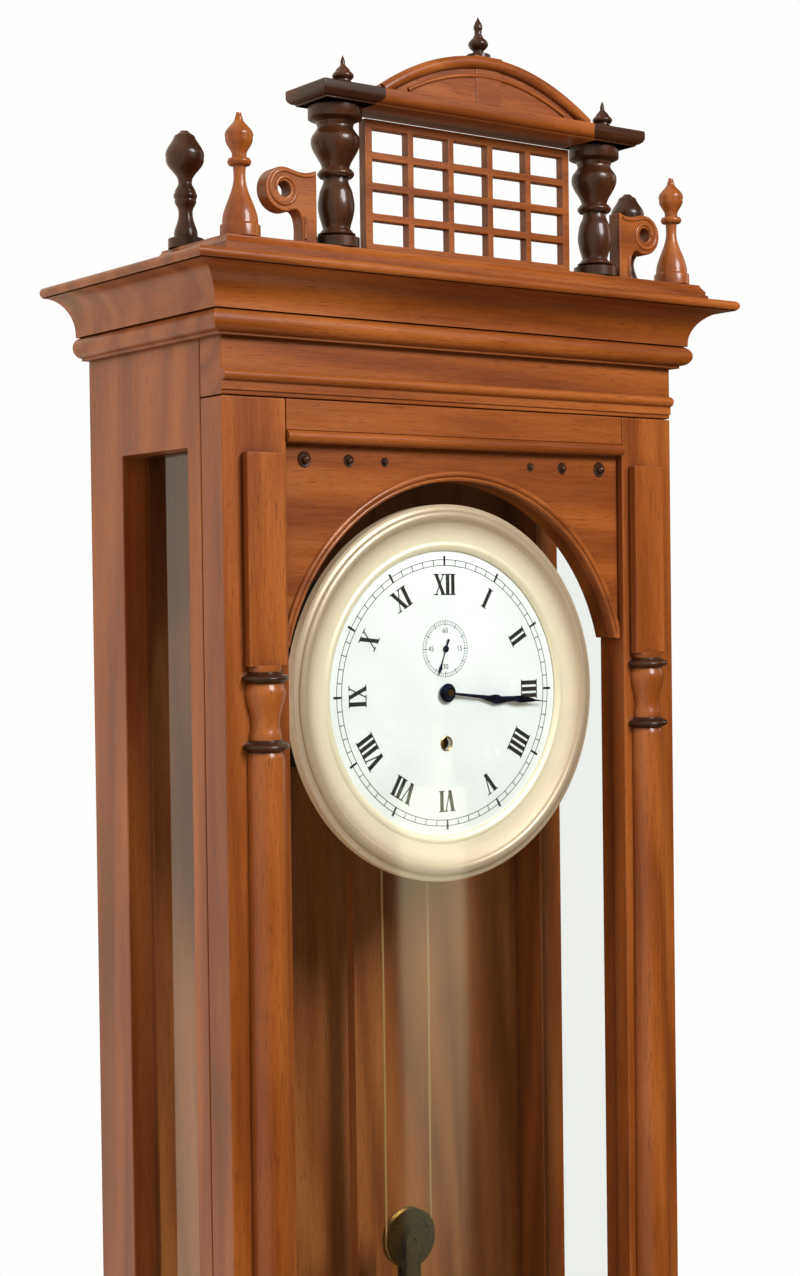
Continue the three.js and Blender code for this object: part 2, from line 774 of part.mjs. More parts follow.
function door_top_rail() {
  const half = stile_inner - seat_gap;
  const ground = body_front + spandrel_recess;
  const band_bottom = door_top - top_band_height;
  const bead_bottom = band_bottom - rail_bead_height;
  const rail = block(-half, half, ground, door_back, spandrel_foot, door_top);
  const band = block(-half, half, body_front, ground, band_bottom, door_top);
  const bead = block(-half, half, body_front - rail_bead_proud, ground, bead_bottom, band_bottom);
  const ring = turned_on_y([
    [arch_radius - cut_overrun, ground - archivolt_proud],
    [arch_radius + archivolt_width, ground - archivolt_proud],
    [arch_radius + archivolt_width, ground + archivolt_proud],
    [arch_radius - cut_overrun, ground + archivolt_proud],
    [arch_radius - cut_overrun, ground - archivolt_proud]], 0, 0, fine_sides);
  const room = block(-half, half, body_front, door_back, spandrel_foot, door_top);
  const arch = rod_y(arch_radius, 0, 0, body_front - cut_overrun * 2, door_back + cut_overrun, fine_sides);
  return cut(join(rail, band, bead, ring.intersect(room)), arch);
}

function door_bottom_rail() {
  const half = stile_inner - seat_gap;
  const top = door_bottom + bottom_rail_height;
  const rail = block(-half, half, body_front, door_back, door_bottom, top);
  const panel = block(-half + bottom_panel_margin, half - bottom_panel_margin,
    body_front - cut_overrun, body_front + bottom_panel_recess,
    door_bottom + bottom_panel_margin, top - bottom_panel_margin);
  return cut(rail, panel);
}

function door_glass() {
  const radius = arch_radius - seat_gap;
  const bottom = door_bottom + bottom_rail_height + seat_gap;
  const shape = outline([[-radius, bottom], [radius, bottom], ...arc(0, 0, radius, 0, 180, fine_sides / 2)]);
  const front = body_front + door_glass_setback;
  return slab(shape, front, front + glass_thickness);
}

// A half column on the stile: flat pilaster above, ringed capital, round shaft below
function door_column() {
  const x = body_half - column_inset;
  const face = body_front - seat_gap;
  const ring = column_capital_radius;
  const neck = column_radius * 0.75;
  const step = (capital_top - capital_bottom) / 12;
  const shaft = turned([
    [0, column_bottom],
    [ring, column_bottom],
    [ring, column_bottom + step * 10],
    [neck, column_bottom + step * 12],
    [column_radius, column_bottom + step * 15],
    [column_radius * 0.9, capital_bottom - step * 6],
    [neck, capital_bottom - step],
    [ring * 0.8, capital_bottom],
    [ring, capital_bottom + step * 2],
    [ring * 0.9, capital_bottom + step * 6],
    [ring, capital_top - step * 2],
    [ring * 0.8, capital_top],
    [neck, capital_top + step],
    [neck, capital_top + step * 2],
    [0, capital_top + step * 2],
  ], x, face, 0);
  const reach = ring + cut_overrun;
  const front_room = block(x - reach, x + reach, face - reach, face, column_bottom, capital_top + step * 2);
  const pilaster_bottom = capital_top + step * 2;
  const pilaster = block(x - column_radius, x + column_radius, face - column_radius / 2, face,
    pilaster_bottom - step / 2, column_top);
  return join(shaft.intersect(front_room), pilaster);
}

// Hinges: the case leaf holds both outer knuckles and the pin, the door leaf the middle one
function case_hinge_leaf(bottom) {
  const top = bottom + hinge_length;
  const knuckle = hinge_length * hinge_end_share;
  const near = body_half + seat_gap;
  const room = rod_z(hinge_knuckle_radius + seat_gap, hinge_x, hinge_y, bottom + knuckle, top - knuckle);
  const leaf = cut(block(near, near + hinge_leaf_thickness, side_front + door_gap,
    side_front + hinge_leaf_width, bottom, top), room);
  const ends = [[bottom, bottom + knuckle], [top - knuckle, top]];
  const knuckles = ends.map(([low, high]) => join(
    rod_z(hinge_knuckle_radius, hinge_x, hinge_y, low, high),
    block(near, hinge_x, hinge_y, side_front + door_gap * 2, low, high)));
  return join(leaf, ...knuckles, rod_z(hinge_pin_radius, hinge_x, hinge_y, bottom, top));
}

function door_hinge_leaf(bottom) {
  const low = bottom + hinge_length * hinge_end_share + seat_gap;
  const high = bottom + hinge_length * (1 - hinge_end_share) - seat_gap;
  const near = body_half + seat_gap;
  const leaf = block(near, near + hinge_leaf_thickness, door_back - hinge_leaf_width, door_back - door_gap,
    bottom, bottom + hinge_length);
  const web = block(near, hinge_x, door_back - door_gap * 2, hinge_y, low, high);
  const knuckle = rod_z(hinge_knuckle_radius, hinge_x, hinge_y, low, high);
  const clear = hinge_knuckle_radius + seat_gap;
  const rooms = [[bottom - cut_overrun, low], [high, bottom + hinge_length + cut_overrun]].map(([a, b]) =>
    rod_z(clear, hinge_x, hinge_y, a, b));
  const bore = rod_z(hinge_pin_radius + running_gap, hinge_x, hinge_y, low - cut_overrun, high + cut_overrun);
  return cut(join(cut(leaf, ...rooms), web, knuckle), bore);
}

// The latch's knob, its spindle through the stile and the cam behind it
function door_latch() {
  const front = body_front - seat_gap;
  const r = latch_knob_radius;
  const tip = front - latch_knob_length;
  const knob = turned_on_y([[0, tip], [r * 0.7, tip], [r, tip + r / 3], [r * 0.8, tip + r * 0.8],
    [r * 0.4, tip + r], [r * 0.4, front - r / 4], [r * 0.75, front - r / 4], [r * 0.75, front], [0, front]],
  latch_x, latch_height);
  const cam_front = side_front + door_gap / 2;
  const spindle_body = rod_y(latch_spindle_radius, latch_x, latch_height, front - r / 4,
    cam_front + latch_cam_thickness);
  const cam = block(latch_x - latch_cam_width / 2, latch_x + latch_cam_width / 2, cam_front,
    cam_front + latch_cam_thickness, latch_height - latch_cam_length, latch_height + latch_cam_width / 2);
  return join(knob, spindle_body, cam);
}

// Dial
function dial() {
  const disc = rod_y(dial_radius, 0, 0, dial_front, dial_back, fine_sides);
  const feet = [-1, 1].flatMap((sx) => [-1, 1].map((sz) =>
    rod_y(dial_foot_radius, sx * dial_foot_x, sz * dial_foot_z, dial_front + dial_thickness / 2,
      plate_front - seat_gap)));
  const hole = (radius, z) => rod_y(radius, 0, z, dial_front - cut_overrun, dial_back + cut_overrun);
  return cut(join(disc, ...feet), hole(dial_centre_hole_radius, 0), hole(winding_hole_radius, winding_z),
    hole(seconds_hole_radius, seconds_z));
}

// The bezel rises in steps from the dial's edge to its outer rim
function bezel() {
  const face = dial_front - seat_gap;
  const width = bezel_outer_radius - bezel_inner_radius;
  const rise = bezel_front_rise;
  return turned_on_y([
    [bezel_inner_radius, face],
    [bezel_inner_radius, face - bezel_lip],
    [bezel_inner_radius + width * 0.16, face - rise * 0.4],
    [bezel_inner_radius + width * 0.2, face - rise * 0.3],
    [bezel_inner_radius + width * 0.6, face - rise * 0.6],
    [bezel_inner_radius + width * 0.7, face - rise],
    [bezel_inner_radius + width * 0.86, face - rise],
    [bezel_outer_radius, face - rise * 0.5],
    [bezel_outer_radius, dial_back],
    [dial_radius + seat_gap, dial_back],
    [dial_radius + seat_gap, face],
    [bezel_inner_radius, face],
  ], 0, 0, fine_sides);
}

// Hands point up here and are turned to their time; half widths are shares of the hub
function hand(length, hub_radius, bore_radius, front, thickness, tail_share) {
  const waist = hub_radius * 0.3;
  const leaf = length * 0.72;
  const right = [
    [waist, 0], [waist * 0.8, length * 0.45], [waist * 2.1, leaf], [waist * 0.5, length * 0.86], [0, length],
  ];
  const tail = length * tail_share;
  const left = right.slice(0, -1).reverse().map(([x, z]) => [-x, z]);
  const blade = slab(outline([[-waist, -tail], [waist, -tail], ...right, ...left]), front, front + thickness);
  const hub = rod_y(hub_radius, 0, 0, front, front + thickness, round_sides);
  const body = join(blade, hub);
  if (!bore_radius) return body;
  return cut(body, rod_y(bore_radius, 0, 0, front - cut_overrun, front + thickness + cut_overrun));
}

const seconds_hand_front = dial_front - seconds_hand_rise - seconds_hand_thickness;
const hour_hand_front = seconds_hand_front - seconds_hand_rise - hand_thickness;
const minute_hand_front = hour_hand_front - hand_spacing;
const hour_pipe_radius = cannon_pipe_radius + running_gap * 2 + hour_pipe_wall;

// Movement plates
function plate(y0) {
  return block(-plate_half_width, plate_half_width, y0, y0 + plate_thickness, plate_bottom, plate_top);
}

// A pivot hole in either plate
const pivot_hole = (radius, x, z, y0) => rod_y(radius + running_gap, x, z, y0 - cut_overrun,
  y0 + plate_thickness + cut_overrun);

function front_plate() {
  const y = plate_front;
  const stud = rod_y(minute_stud_radius, minute_wheel_x, 0, dial_back + seat_gap * 4, y + plate_thickness / 2);
  return cut(join(plate(y), stud),
    pivot_hole(arbor_radius, 0, 0, y),
    pivot_hole(barrel_arbor_radius, 0, winding_z, y),
    pivot_hole(arbor_radius, third_x, third_z, y),
    pivot_hole(arbor_radius, 0, seconds_z, y),
    pivot_hole(arbor_radius, 0, pallet_z, y));
}

function back_plate() {
  const y = back_plate_front;
  const y0 = front_plate_back + seat_gap;
  const pillars = [-1, 1].flatMap((side) => [pillar_top, pillar_bottom].map((z) =>
    rod_y(pillar_radius, side * pillar_x, z, y0, y + plate_thickness / 2)));
  const bar = rod_y(line_bar_radius, line_bar_x, line_bar_z, y0, y + plate_thickness / 2);
  return cut(join(plate(y), ...pillars, bar),
    pivot_hole(arbor_radius, 0, 0, y),
    pivot_hole(barrel_arbor_radius, 0, winding_z, y),
    pivot_hole(arbor_radius, third_x, third_z, y),
    pivot_hole(arbor_radius, 0, seconds_z, y),
    pivot_hole(arbor_radius, 0, pallet_z, y));
}

const pivot_back = back_plate_back - plate_thickness / 4;
const pivot_front = plate_front + plate_thickness / 4;
const great_front = front_plate_back + great_depth;
const centre_front = front_plate_back + centre_depth;
const third_front = front_plate_back + third_depth;
const escape_front = front_plate_back + escape_depth;

function wheel(teeth, module, hole_radius, spokes, front, thickness) {
  return slab(gear_outline(teeth, module, hole_radius, spokes), front, front + thickness);
}

function great_wheel() {
  const half_tooth = 180 / great_teeth;
  const rim = wheel(great_teeth, great_module, barrel_arbor_radius + running_gap, 5, great_front, great_thickness);
  return clockwise(rim, half_tooth + 90).translate([0, 0, winding_z]);
}

function barrel() {
  const ratchet_front = great_front + great_thickness + seat_gap * 2;
  const drum_front = ratchet_front + ratchet_thickness;
  const drum_back = back_plate_front - wheel_thickness * 2;
  const teeth = Array.from({ length: ratchet_teeth }, (_, i) => {
    const angle = 360 * i / ratchet_teeth;
    const tip = arc(0, 0, ratchet_radius, angle, angle, 1)[0];
    const root = arc(0, 0, ratchet_radius * 0.88, angle + 2, angle + 2, 1)[0];
    return [tip, root];
  }).flat();
  const ratchet = slab(outline(teeth), ratchet_front, drum_front);
  const drum = turned_on_y([
    [0, drum_front - ratchet_thickness / 2],
    [barrel_radius, drum_front - ratchet_thickness / 2],
    [barrel_radius, drum_back - wheel_thickness],
    [barrel_flange_radius, drum_back - wheel_thickness],
    [barrel_flange_radius, drum_back],
    [0, drum_back],
  ], 0, 0);
  const arbor = rod_y(barrel_arbor_radius, 0, 0, pivot_front, pivot_back);
  const square_front = dial_back + winding_square_setback;
  const square = block(-winding_square_half, winding_square_half, square_front, pivot_front + plate_thickness,
    -winding_square_half, winding_square_half);
  return join(ratchet, drum, arbor, square).translate([0, 0, winding_z]);
}

const cannon_back = plate_front - seat_gap * 2;
const motion_front = cannon_back - wheel_thickness - seat_gap * 2;

function centre_wheel() {
  const third_bearing = THREE.MathUtils.radToDeg(Math.atan2(third_z, third_x));
  const rim = wheel(centre_teeth, centre_module, 0, 5, centre_front, wheel_thickness);
  const pinion = wheel(centre_pinion_leaves, great_module, 0, 0, great_front - wheel_thickness,
    great_thickness + wheel_thickness * 2);
  const cannon = wheel(cannon_leaves, cannon_module, 0, 0, cannon_back - wheel_thickness, wheel_thickness);
  const pipe = rod_y(cannon_pipe_radius, 0, 0, minute_hand_front - hand_thickness, cannon_back - wheel_thickness / 2);
  const arbor = rod_y(arbor_radius, 0, 0, cannon_back - wheel_thickness, pivot_back);
  return join(clockwise(rim, -third_bearing), clockwise(pinion, 90), cannon, pipe, arbor);
}

function third_wheel() {
  const centre_bearing = THREE.MathUtils.radToDeg(Math.atan2(-third_z, -third_x));
  const seconds_bearing = THREE.MathUtils.radToDeg(Math.atan2(seconds_z - third_z, -third_x));
  const rim = wheel(third_teeth, third_module, 0, 5, third_front, wheel_thickness);
  const pinion = wheel(third_pinion_leaves, centre_module, 0, 0, centre_front - wheel_thickness,
    wheel_thickness * 3);
  const arbor = rod_y(arbor_radius, 0, 0, pivot_front, pivot_back);
  const half_leaf = 180 / third_pinion_leaves;
  return join(clockwise(rim, -seconds_bearing), clockwise(pinion, half_leaf - centre_bearing), arbor)
    .translate([third_x, 0, third_z]);
}

function escape_wheel() {
  const third_bearing = THREE.MathUtils.radToDeg(Math.atan2(third_z - seconds_z, third_x));
  const root = escape_radius - escape_tooth_depth;
  const teeth = Array.from({ length: escape_teeth }, (_, i) => {
    const angle = 360 * i / escape_teeth;
    const step = 360 / escape_teeth;
    return [
      arc(0, 0, escape_radius, angle, angle, 1)[0],
      arc(0, 0, root, angle + step * 0.3, angle + step * 0.3, 1)[0],
      arc(0, 0, root, angle + step * 0.75, angle + step * 0.75, 1)[0],
      arc(0, 0, escape_radius, angle + step * 0.93, angle + step * 0.93, 1)[0],
    ];
  }).flat();
  const shape = outline(teeth);
  shape.holes.push(...crossings(5, root));
  const rim = slab(shape, escape_front, escape_front + wheel_thickness);
  const pinion = wheel(escape_pinion_leaves, third_module, 0, 0, third_front - wheel_thickness,
    wheel_thickness * 3);
  const half_leaf = 180 / escape_pinion_leaves;
  const arbor = rod_y(arbor_radius, 0, 0, pivot_front, pivot_back);
  const seconds_arbor = rod_y(seconds_arbor_radius, 0, 0, seconds_hand_front + seconds_hand_thickness / 2,
    pivot_front + plate_thickness);
  return join(rim, clockwise(pinion, half_leaf - third_bearing), arbor, seconds_arbor)
    .translate([0, 0, seconds_z]);
}

function minute_wheel() {
  const half_tooth = 180 / minute_wheel_teeth;
  const bore = minute_stud_radius + running_gap;
  const back = cannon_back;
  const rim = wheel(minute_wheel_teeth, cannon_module, bore, 0, back - wheel_thickness, wheel_thickness);
  const pinion = wheel(minute_pinion_leaves, hour_module, bore, 0, motion_front - wheel_thickness,
    back - wheel_thickness - motion_front + wheel_thickness + seat_gap);
  return join(clockwise(rim, half_tooth), pinion).translate([minute_wheel_x, 0, 0]);
}

function hour_wheel() {
  const half_tooth = 180 / hour_wheel_teeth;
  const bore = cannon_pipe_radius + running_gap * 2;
  const rim = wheel(hour_wheel_teeth, hour_module, 0, 0, motion_front - wheel_thickness, wheel_thickness);
  const pipe = rod_y(hour_pipe_radius, 0, 0, hour_hand_front, motion_front - wheel_thickness / 2);
  const clear = rod_y(bore, 0, 0, hour_hand_front - cut_overrun, motion_front + cut_overrun);
  return cut(join(clockwise(rim, half_tooth), pipe), clear);
}

// Pallets: an anchor over the escape wheel on its arbor, with the crutch behind the back plate
function pallets() {
  const y0 = escape_front - (anchor_thickness - wheel_thickness) / 2;
  const tip = escape_radius + pallet_swing_room;
  const inner = tip + anchor_reach;
  const outer = inner + anchor_band;
  const [start, end] = [90 - pallet_degrees - nib_degrees, 90 + pallet_degrees + nib_degrees];
  const band = outline([...arc(0, seconds_z, outer, start, end, small_sides),
    ...arc(0, seconds_z, inner, end, start, small_sides)]);
  const nib = (middle) => slab(outline([
    ...arc(0, seconds_z, inner + anchor_band / 2, middle - nib_degrees, middle + nib_degrees, 1),
    ...arc(0, seconds_z, tip, middle + nib_degrees * 0.6, middle - nib_degrees * 0.6, 1)]), y0, y0 + anchor_thickness);
  const hub = rod_y(pallet_hub_radius, 0, pallet_z, y0 - anchor_thickness, y0 + anchor_thickness * 2);
  const arbor = rod_y(arbor_radius, 0, pallet_z, pivot_front, back_plate_back + crutch_setback + crutch_thickness);
  const crutch_front = back_plate_back + crutch_setback;
  const crutch_bottom = pallet_z - crutch_drop;
  const arm = block(-crutch_width / 2, crutch_width / 2, crutch_front, crutch_front + crutch_thickness,
    crutch_bottom, pallet_z + crutch_width);
  const prong_inner = rod_width / 2 + seat_gap * 2;
  const prong_outer = prong_inner + crutch_prong;
  const prong_back = -pendulum_y + rod_depth / 2;
  const bar = block(-prong_outer, prong_outer, crutch_front, crutch_front + crutch_thickness,
    crutch_bottom, crutch_bottom + crutch_width);
  const prongs = [-1, 1].map((side) => block(side * prong_inner, side * prong_outer, crutch_front, prong_back,
    crutch_bottom, crutch_bottom + crutch_width));
  return join(slab(band, y0, y0 + anchor_thickness), nib(90 - pallet_degrees), nib(90 + pallet_degrees), hub, arbor,
    arm, bar, ...prongs);
}

// Iron bracket on the backboard: four arms to the back plate and the pendulum's cock
function movement_bracket() {
  const back = -board_thickness - seat_gap;
  const face = back - bracket_plate_thickness;
  const plate_body = block(-bracket_half_width, bracket_half_width, face, back, bracket_bottom, bracket_top);
  const arms = [-1, 1].flatMap((side) => [bracket_lower_arm_bottom, bracket_upper_arm_bottom].map((z) =>
    block(side * (plate_half_width - bracket_arm_width), side * plate_half_width,
      back_plate_back + seat_gap, face + bracket_plate_thickness / 2, z, z + bracket_arm_height)));
  const pin_half = spring_pin_length / 2;
  const cock_bottom = pallet_z - cock_below_pin;
  const bridge_bottom = cock_bottom + cock_height - cock_cheek;
  const cheek_front = -pendulum_y - pin_half;
  const cheek_back = -pendulum_y + pin_half - cock_cheek;
  const cheeks = [cheek_front, cheek_back].map((y) => block(-cock_half_width, cock_half_width, y, y + cock_cheek,
    cock_bottom, cock_bottom + cock_height));
  const bridge = block(-cock_half_width, cock_half_width, cheek_front, face + bracket_plate_thickness / 2,
    bridge_bottom, cock_bottom + cock_height);
  const pin_room = rod_y(spring_pin_radius + running_gap, 0, pallet_z, cheek_front - cut_overrun,
    cheek_back + cock_cheek + cut_overrun);
  return cut(join(plate_body, ...arms, ...cheeks, bridge), pin_room);
}

// Pendulum
function suspension_spring() {
  const pin_half = spring_pin_length / 2;
  const pin = rod_y(spring_pin_radius, 0, pallet_z, -pendulum_y - pin_half, -pendulum_y + pin_half);
  const strip = block(-spring_thickness / 2, spring_thickness / 2, -pendulum_y - spring_width / 2,
    -pendulum_y + spring_width / 2, pallet_z - spring_length - spring_block_height / 2, pallet_z);
  const chops = block(-rod_width / 3, rod_width / 3, -pendulum_y - rod_depth / 2, -pendulum_y + rod_depth / 2,
    pallet_z - spring_length - spring_block_height, pallet_z - spring_length);
  return join(pin, strip, chops);
}

function pendulum_rod() {
  const rod = block(-rod_width / 2, rod_width / 2, -pendulum_y - rod_depth / 2, -pendulum_y + rod_depth / 2,
    bob_bottom, pendulum_rod_top);
  const screw = rod_z(rating_screw_radius, 0, -pendulum_y, bob_bottom - rating_screw_length,
    bob_bottom + rating_screw_length);
  return join(rod, screw);
}

function pendulum_bob() {
  const half = bob_thickness / 2;
  const rim = bob_rim / 2;
  const dome = (half - rim) / 2 + bob_radius ** 2 / (2 * (half - rim));
  const curve = Array.from({ length: arc_steps + 1 }, (_, i) => {
    const r = bob_radius * i / arc_steps;
    return [r, half - dome + Math.sqrt(dome ** 2 - r ** 2)];
  });
  const back = curve.map(([r, h]) => [r, h - pendulum_y]);
  const front = curve.map(([r, h]) => [r, -h - pendulum_y]).reverse();
  const lens = turned_on_y([...back, ...front], 0, bob_z, fine_sides);
  const slot_half = rod_width / 2 + seat_gap;
  const slot_depth = rod_depth / 2 + seat_gap;
  const slot = block(-slot_half, slot_half, -pendulum_y - slot_depth, -pendulum_y + slot_depth,
    bob_bottom - cut_overrun, bob_z + bob_radius + cut_overrun);
  return cut(lens, slot);
}

function rating_nut() {
  const top = bob_bottom - seat_gap;
  const nut = rod_z(rating_nut_radius, 0, -pendulum_y, top - rating_nut_height, top, round_sides);
  const bore = rod_z(rating_screw_radius + running_gap, 0, -pendulum_y, top - rating_nut_height - cut_overrun,
    top + cut_overrun);
  return cut(nut, bore);
}

// Weight, with the stirrup and axle that carry its pulley
function weight() {
  const top = pulley_z - stirrup_drop;
  const r = weight_radius;
  const body = turned([
    [0, top - weight_length], [r * 0.9, top - weight_length], [r, top - weight_length + r * 0.1],
    [r, top - r * 0.1], [r * 0.9, top], [r * 0.3, top + r * 0.12], [0, top + r * 0.12],
  ], 0, -weight_y, 0, round_sides);
  const gap = pulley_thickness / 2 + door_gap;
  const straps = [-1, 1].map((side) => block(-stirrup_width / 2, stirrup_width / 2,
    -weight_y + side * gap, -weight_y + side * (gap + stirrup_thickness),
    top - stirrup_thickness, pulley_z + stirrup_width / 2));
  const foot = block(-stirrup_width / 2, stirrup_width / 2, -weight_y - gap, -weight_y + gap,
    top - stirrup_thickness, top + stirrup_thickness * 2);
  const axle = rod_y(pulley_axle_radius, 0, pulley_z, -weight_y - gap - stirrup_thickness,
    -weight_y + gap + stirrup_thickness);
  return join(body, ...straps, foot, axle);
}

function pulley() {
  const half = pulley_thickness / 2;
  const disc = turned_on_y([
    [0, -half], [pulley_radius, -half], [pulley_radius, -half * 0.7], [pulley_groove_radius, 0],
    [pulley_radius, half * 0.7], [pulley_radius, half], [0, half],
  ], 0, 0, round_sides);
  const bore = rod_y(pulley_axle_radius + running_gap, 0, 0, -half - cut_overrun, half + cut_overrun);
  return cut(disc, bore).translate([0, -weight_y, pulley_z]);
}

// The line leaves the drum, passes under the pulley and ends below the bar in the frame
function weight_line() {
  const reach = pulley_groove_radius + line_radius + seat_gap * 2;
  const route = points([
    [-(barrel_radius + line_radius + seat_gap), winding_z],
    ...arc(0, pulley_z, reach, 180, 360, line_arc_steps),
    [line_bar_x, line_bar_z - line_bar_radius - seat_gap],
  ]);
  const section = points(arc(0, 0, line_radius, 0, 360, line_sides).slice(1));
  const rings = route.map((at, i) => {
    const before = route[Math.max(i - 1, 0)];
    const after = route[Math.min(i + 1, route.length - 1)];
    const across = after.clone().sub(before).normalize().rotateAround(new THREE.Vector2(), Math.PI / 2);
    return section.map((p) => [at.x + across.x * p.x, -weight_y + p.y, at.y + across.y * p.x]);
  });
  return loft(section, rings);
}

// The assembly
add('backboard', inner_wood, backboard());
add('wall_plate', steel, wall_plate());
for (const [name, side] of sides) {
  const panel = mirrored(case_side(), side);
  add(`case_side_${name}`, case_wood, side < 0 ? cut(panel, latch_slot()) : panel);
  add(`side_glass_${name}`, glass, mirrored(side_glass(), side));
}
add('top_board', case_wood, block(-body_half, body_half, body_front, 0, top_board_bottom, cornice_top));
add('bottom_board', case_wood,
  block(-body_half, body_half, body_front, 0, bottom_board_bottom, bottom_board_top));
add('frieze', case_wood, frieze());
add('cornice', case_wood, cornice());
add('base_moulding', case_wood, base_moulding());
add('bottom_drop', case_wood, bottom_drop());
add('drop_finial', dark_wood, spindle(drop_finial_shares, drop_finial_radius, drop_finial_height,
  0, -drop_foot_front / 2, drop_bottom - seat_gap - drop_finial_height, round_sides));

add('crest_base', case_wood, crest_base());
for (const [name, side] of sides) {
  add(`crest_post_${name}`, dark_wood, spindle(post_shares, crest_post_radius, crest_post_height,
    side * crest_post_x, -crest_plane, crest_shelf, round_sides));
  add(`crest_wing_${name}`, dark_wood, mirrored(crest_wing(), side));
  add(`corner_finial_${name}`, case_wood, spindle(corner_finial_shares, corner_finial_radius,
    corner_finial_height, side * (crest_base_half_width - corner_finial_inset_x),
    corner_finial_inset_y - crest_base_front, crest_shelf));
  add(`side_finial_${name}`, dark_wood, spindle(side_finial_shares, corner_finial_radius,
    side_finial_height, side * (crest_base_half_width - side_finial_inset_x),
    side_finial_inset_y - crest_base_front, crest_shelf));
}
add('crest_lattice', case_wood, crest_lattice());
add('pediment', case_wood, pediment());
add('top_finial', dark_wood, spindle(top_finial_shares, top_finial_radius, top_finial_height,
  0, pediment_middle, pediment_top + seat_gap * 2));

for (const [name, side] of sides) {
  const bore = rod_y(latch_spindle_radius + running_gap, latch_x, latch_height,
    body_front - cut_overrun, door_back + cut_overrun);
  const stile = mirrored(door_stile(), side);
  add(`door_stile_${name}`, case_wood, side < 0 ? cut(stile, bore) : stile);
  add(`door_column_${name}`, case_wood, mirrored(door_column(), side));
}
add('door_top_rail', case_wood, door_top_rail());
add('door_bottom_rail', case_wood, door_bottom_rail());
add('door_glass', glass, door_glass());
for (const [name, bottom] of [['upper', hinge_upper_bottom], ['lower', hinge_lower_bottom]]) {
  add(`hinge_${name}_case_leaf`, brass, case_hinge_leaf(bottom));
  add(`hinge_${name}_door_leaf`, brass, door_hinge_leaf(bottom));
}
add('door_latch', brass, door_latch());

add('dial', enamel, dial());
add('bezel', pale_brass, bezel());
add('minute_hand', blued_steel, clockwise(hand(minute_hand_length, cannon_pipe_radius * 2,
  cannon_pipe_radius + seat_gap / 2, minute_hand_front, hand_thickness, 0), minute_rest_degrees));
add('hour_hand', blued_steel, clockwise(hand(minute_hand_length * hour_hand_share, hour_pipe_radius * 1.7,
  hour_pipe_radius + seat_gap / 2, hour_hand_front, hand_thickness, 0), hour_rest_degrees));
add('seconds_hand', blued_steel, clockwise(hand(seconds_hand_length, seconds_arbor_radius * 3.4,
  seconds_arbor_radius + seat_gap / 2, seconds_hand_front, seconds_hand_thickness, 0.35), seconds_rest_degrees)
  .translate([0, 0, seconds_z]));

add('front_plate', brass, front_plate());
add('back_plate', brass, back_plate());
add('great_wheel', brass, great_wheel());
add('barrel', brass, barrel());
add('centre_wheel', brass, centre_wheel());
add('minute_wheel', brass, minute_wheel());
add('hour_wheel', brass, hour_wheel());
add('third_wheel', brass, third_wheel());
add('escape_wheel', brass, escape_wheel());
add('pallets', steel, pallets());
add('movement_bracket', iron, movement_bracket());

add('suspension_spring', steel, suspension_spring());
add('pendulum_rod', inner_wood, pendulum_rod());
add('pendulum_bob', brass, pendulum_bob());
add('rating_nut', brass, rating_nut());
add('weight', brass, weight());
add('pulley', brass, pulley());
add('weight_line', gut, weight_line());

export default clock;
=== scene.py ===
"""Finishes and fine shapes of a wall-hung regulator clock with one weight.

Metres, +Z up. The clock faces -Y, its back lies at Y = 0 and +X is at its right.
The origin is on the back of the backboard, behind the middle of the dial.
"""
import json
import math

import bmesh
import bpy
from mathutils import Matrix, Vector


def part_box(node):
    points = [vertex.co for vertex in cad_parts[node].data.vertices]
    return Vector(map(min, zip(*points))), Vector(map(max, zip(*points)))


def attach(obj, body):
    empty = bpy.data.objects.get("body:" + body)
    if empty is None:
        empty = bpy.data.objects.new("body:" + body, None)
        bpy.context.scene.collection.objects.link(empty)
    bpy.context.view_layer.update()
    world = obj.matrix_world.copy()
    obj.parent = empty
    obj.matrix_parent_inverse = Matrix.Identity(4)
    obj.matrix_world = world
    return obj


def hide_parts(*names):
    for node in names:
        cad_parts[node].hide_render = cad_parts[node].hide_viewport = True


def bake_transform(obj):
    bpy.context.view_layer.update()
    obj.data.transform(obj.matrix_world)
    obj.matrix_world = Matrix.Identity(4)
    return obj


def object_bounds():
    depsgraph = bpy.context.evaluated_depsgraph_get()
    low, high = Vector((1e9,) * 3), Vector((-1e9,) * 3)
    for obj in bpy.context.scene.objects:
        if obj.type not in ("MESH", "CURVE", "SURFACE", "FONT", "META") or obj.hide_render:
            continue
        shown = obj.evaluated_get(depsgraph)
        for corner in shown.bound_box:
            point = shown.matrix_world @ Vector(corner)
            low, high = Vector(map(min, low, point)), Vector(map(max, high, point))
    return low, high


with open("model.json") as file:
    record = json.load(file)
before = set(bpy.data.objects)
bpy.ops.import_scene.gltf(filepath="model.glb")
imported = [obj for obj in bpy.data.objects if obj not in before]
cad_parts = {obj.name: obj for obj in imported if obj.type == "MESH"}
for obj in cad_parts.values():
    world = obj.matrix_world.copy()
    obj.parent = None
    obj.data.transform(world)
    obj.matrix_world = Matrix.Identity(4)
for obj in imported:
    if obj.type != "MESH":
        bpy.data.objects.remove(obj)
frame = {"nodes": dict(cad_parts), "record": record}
cad_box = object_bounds()
body_of = {node: body for body, nodes in frame["record"]["behaviour"]["bodies"].items() for node in nodes}

# Camera, fitted to the photograph's straight edges and ellipses
camera_place = (-0.7470, -1.0888, 0.0570)
camera_yaw = math.radians(36.594)
camera_pitch = math.radians(-1.143)
camera_roll = math.radians(-0.7295)
camera_lens = 58.2
camera_sensor = 36

# Steps on round shapes
turned_steps = 72
bore_steps = 36
arch_steps = 96
arc_steps = 12
element_steps = 8
smooth_limit = math.radians(34)
bevel_limit = math.radians(38)

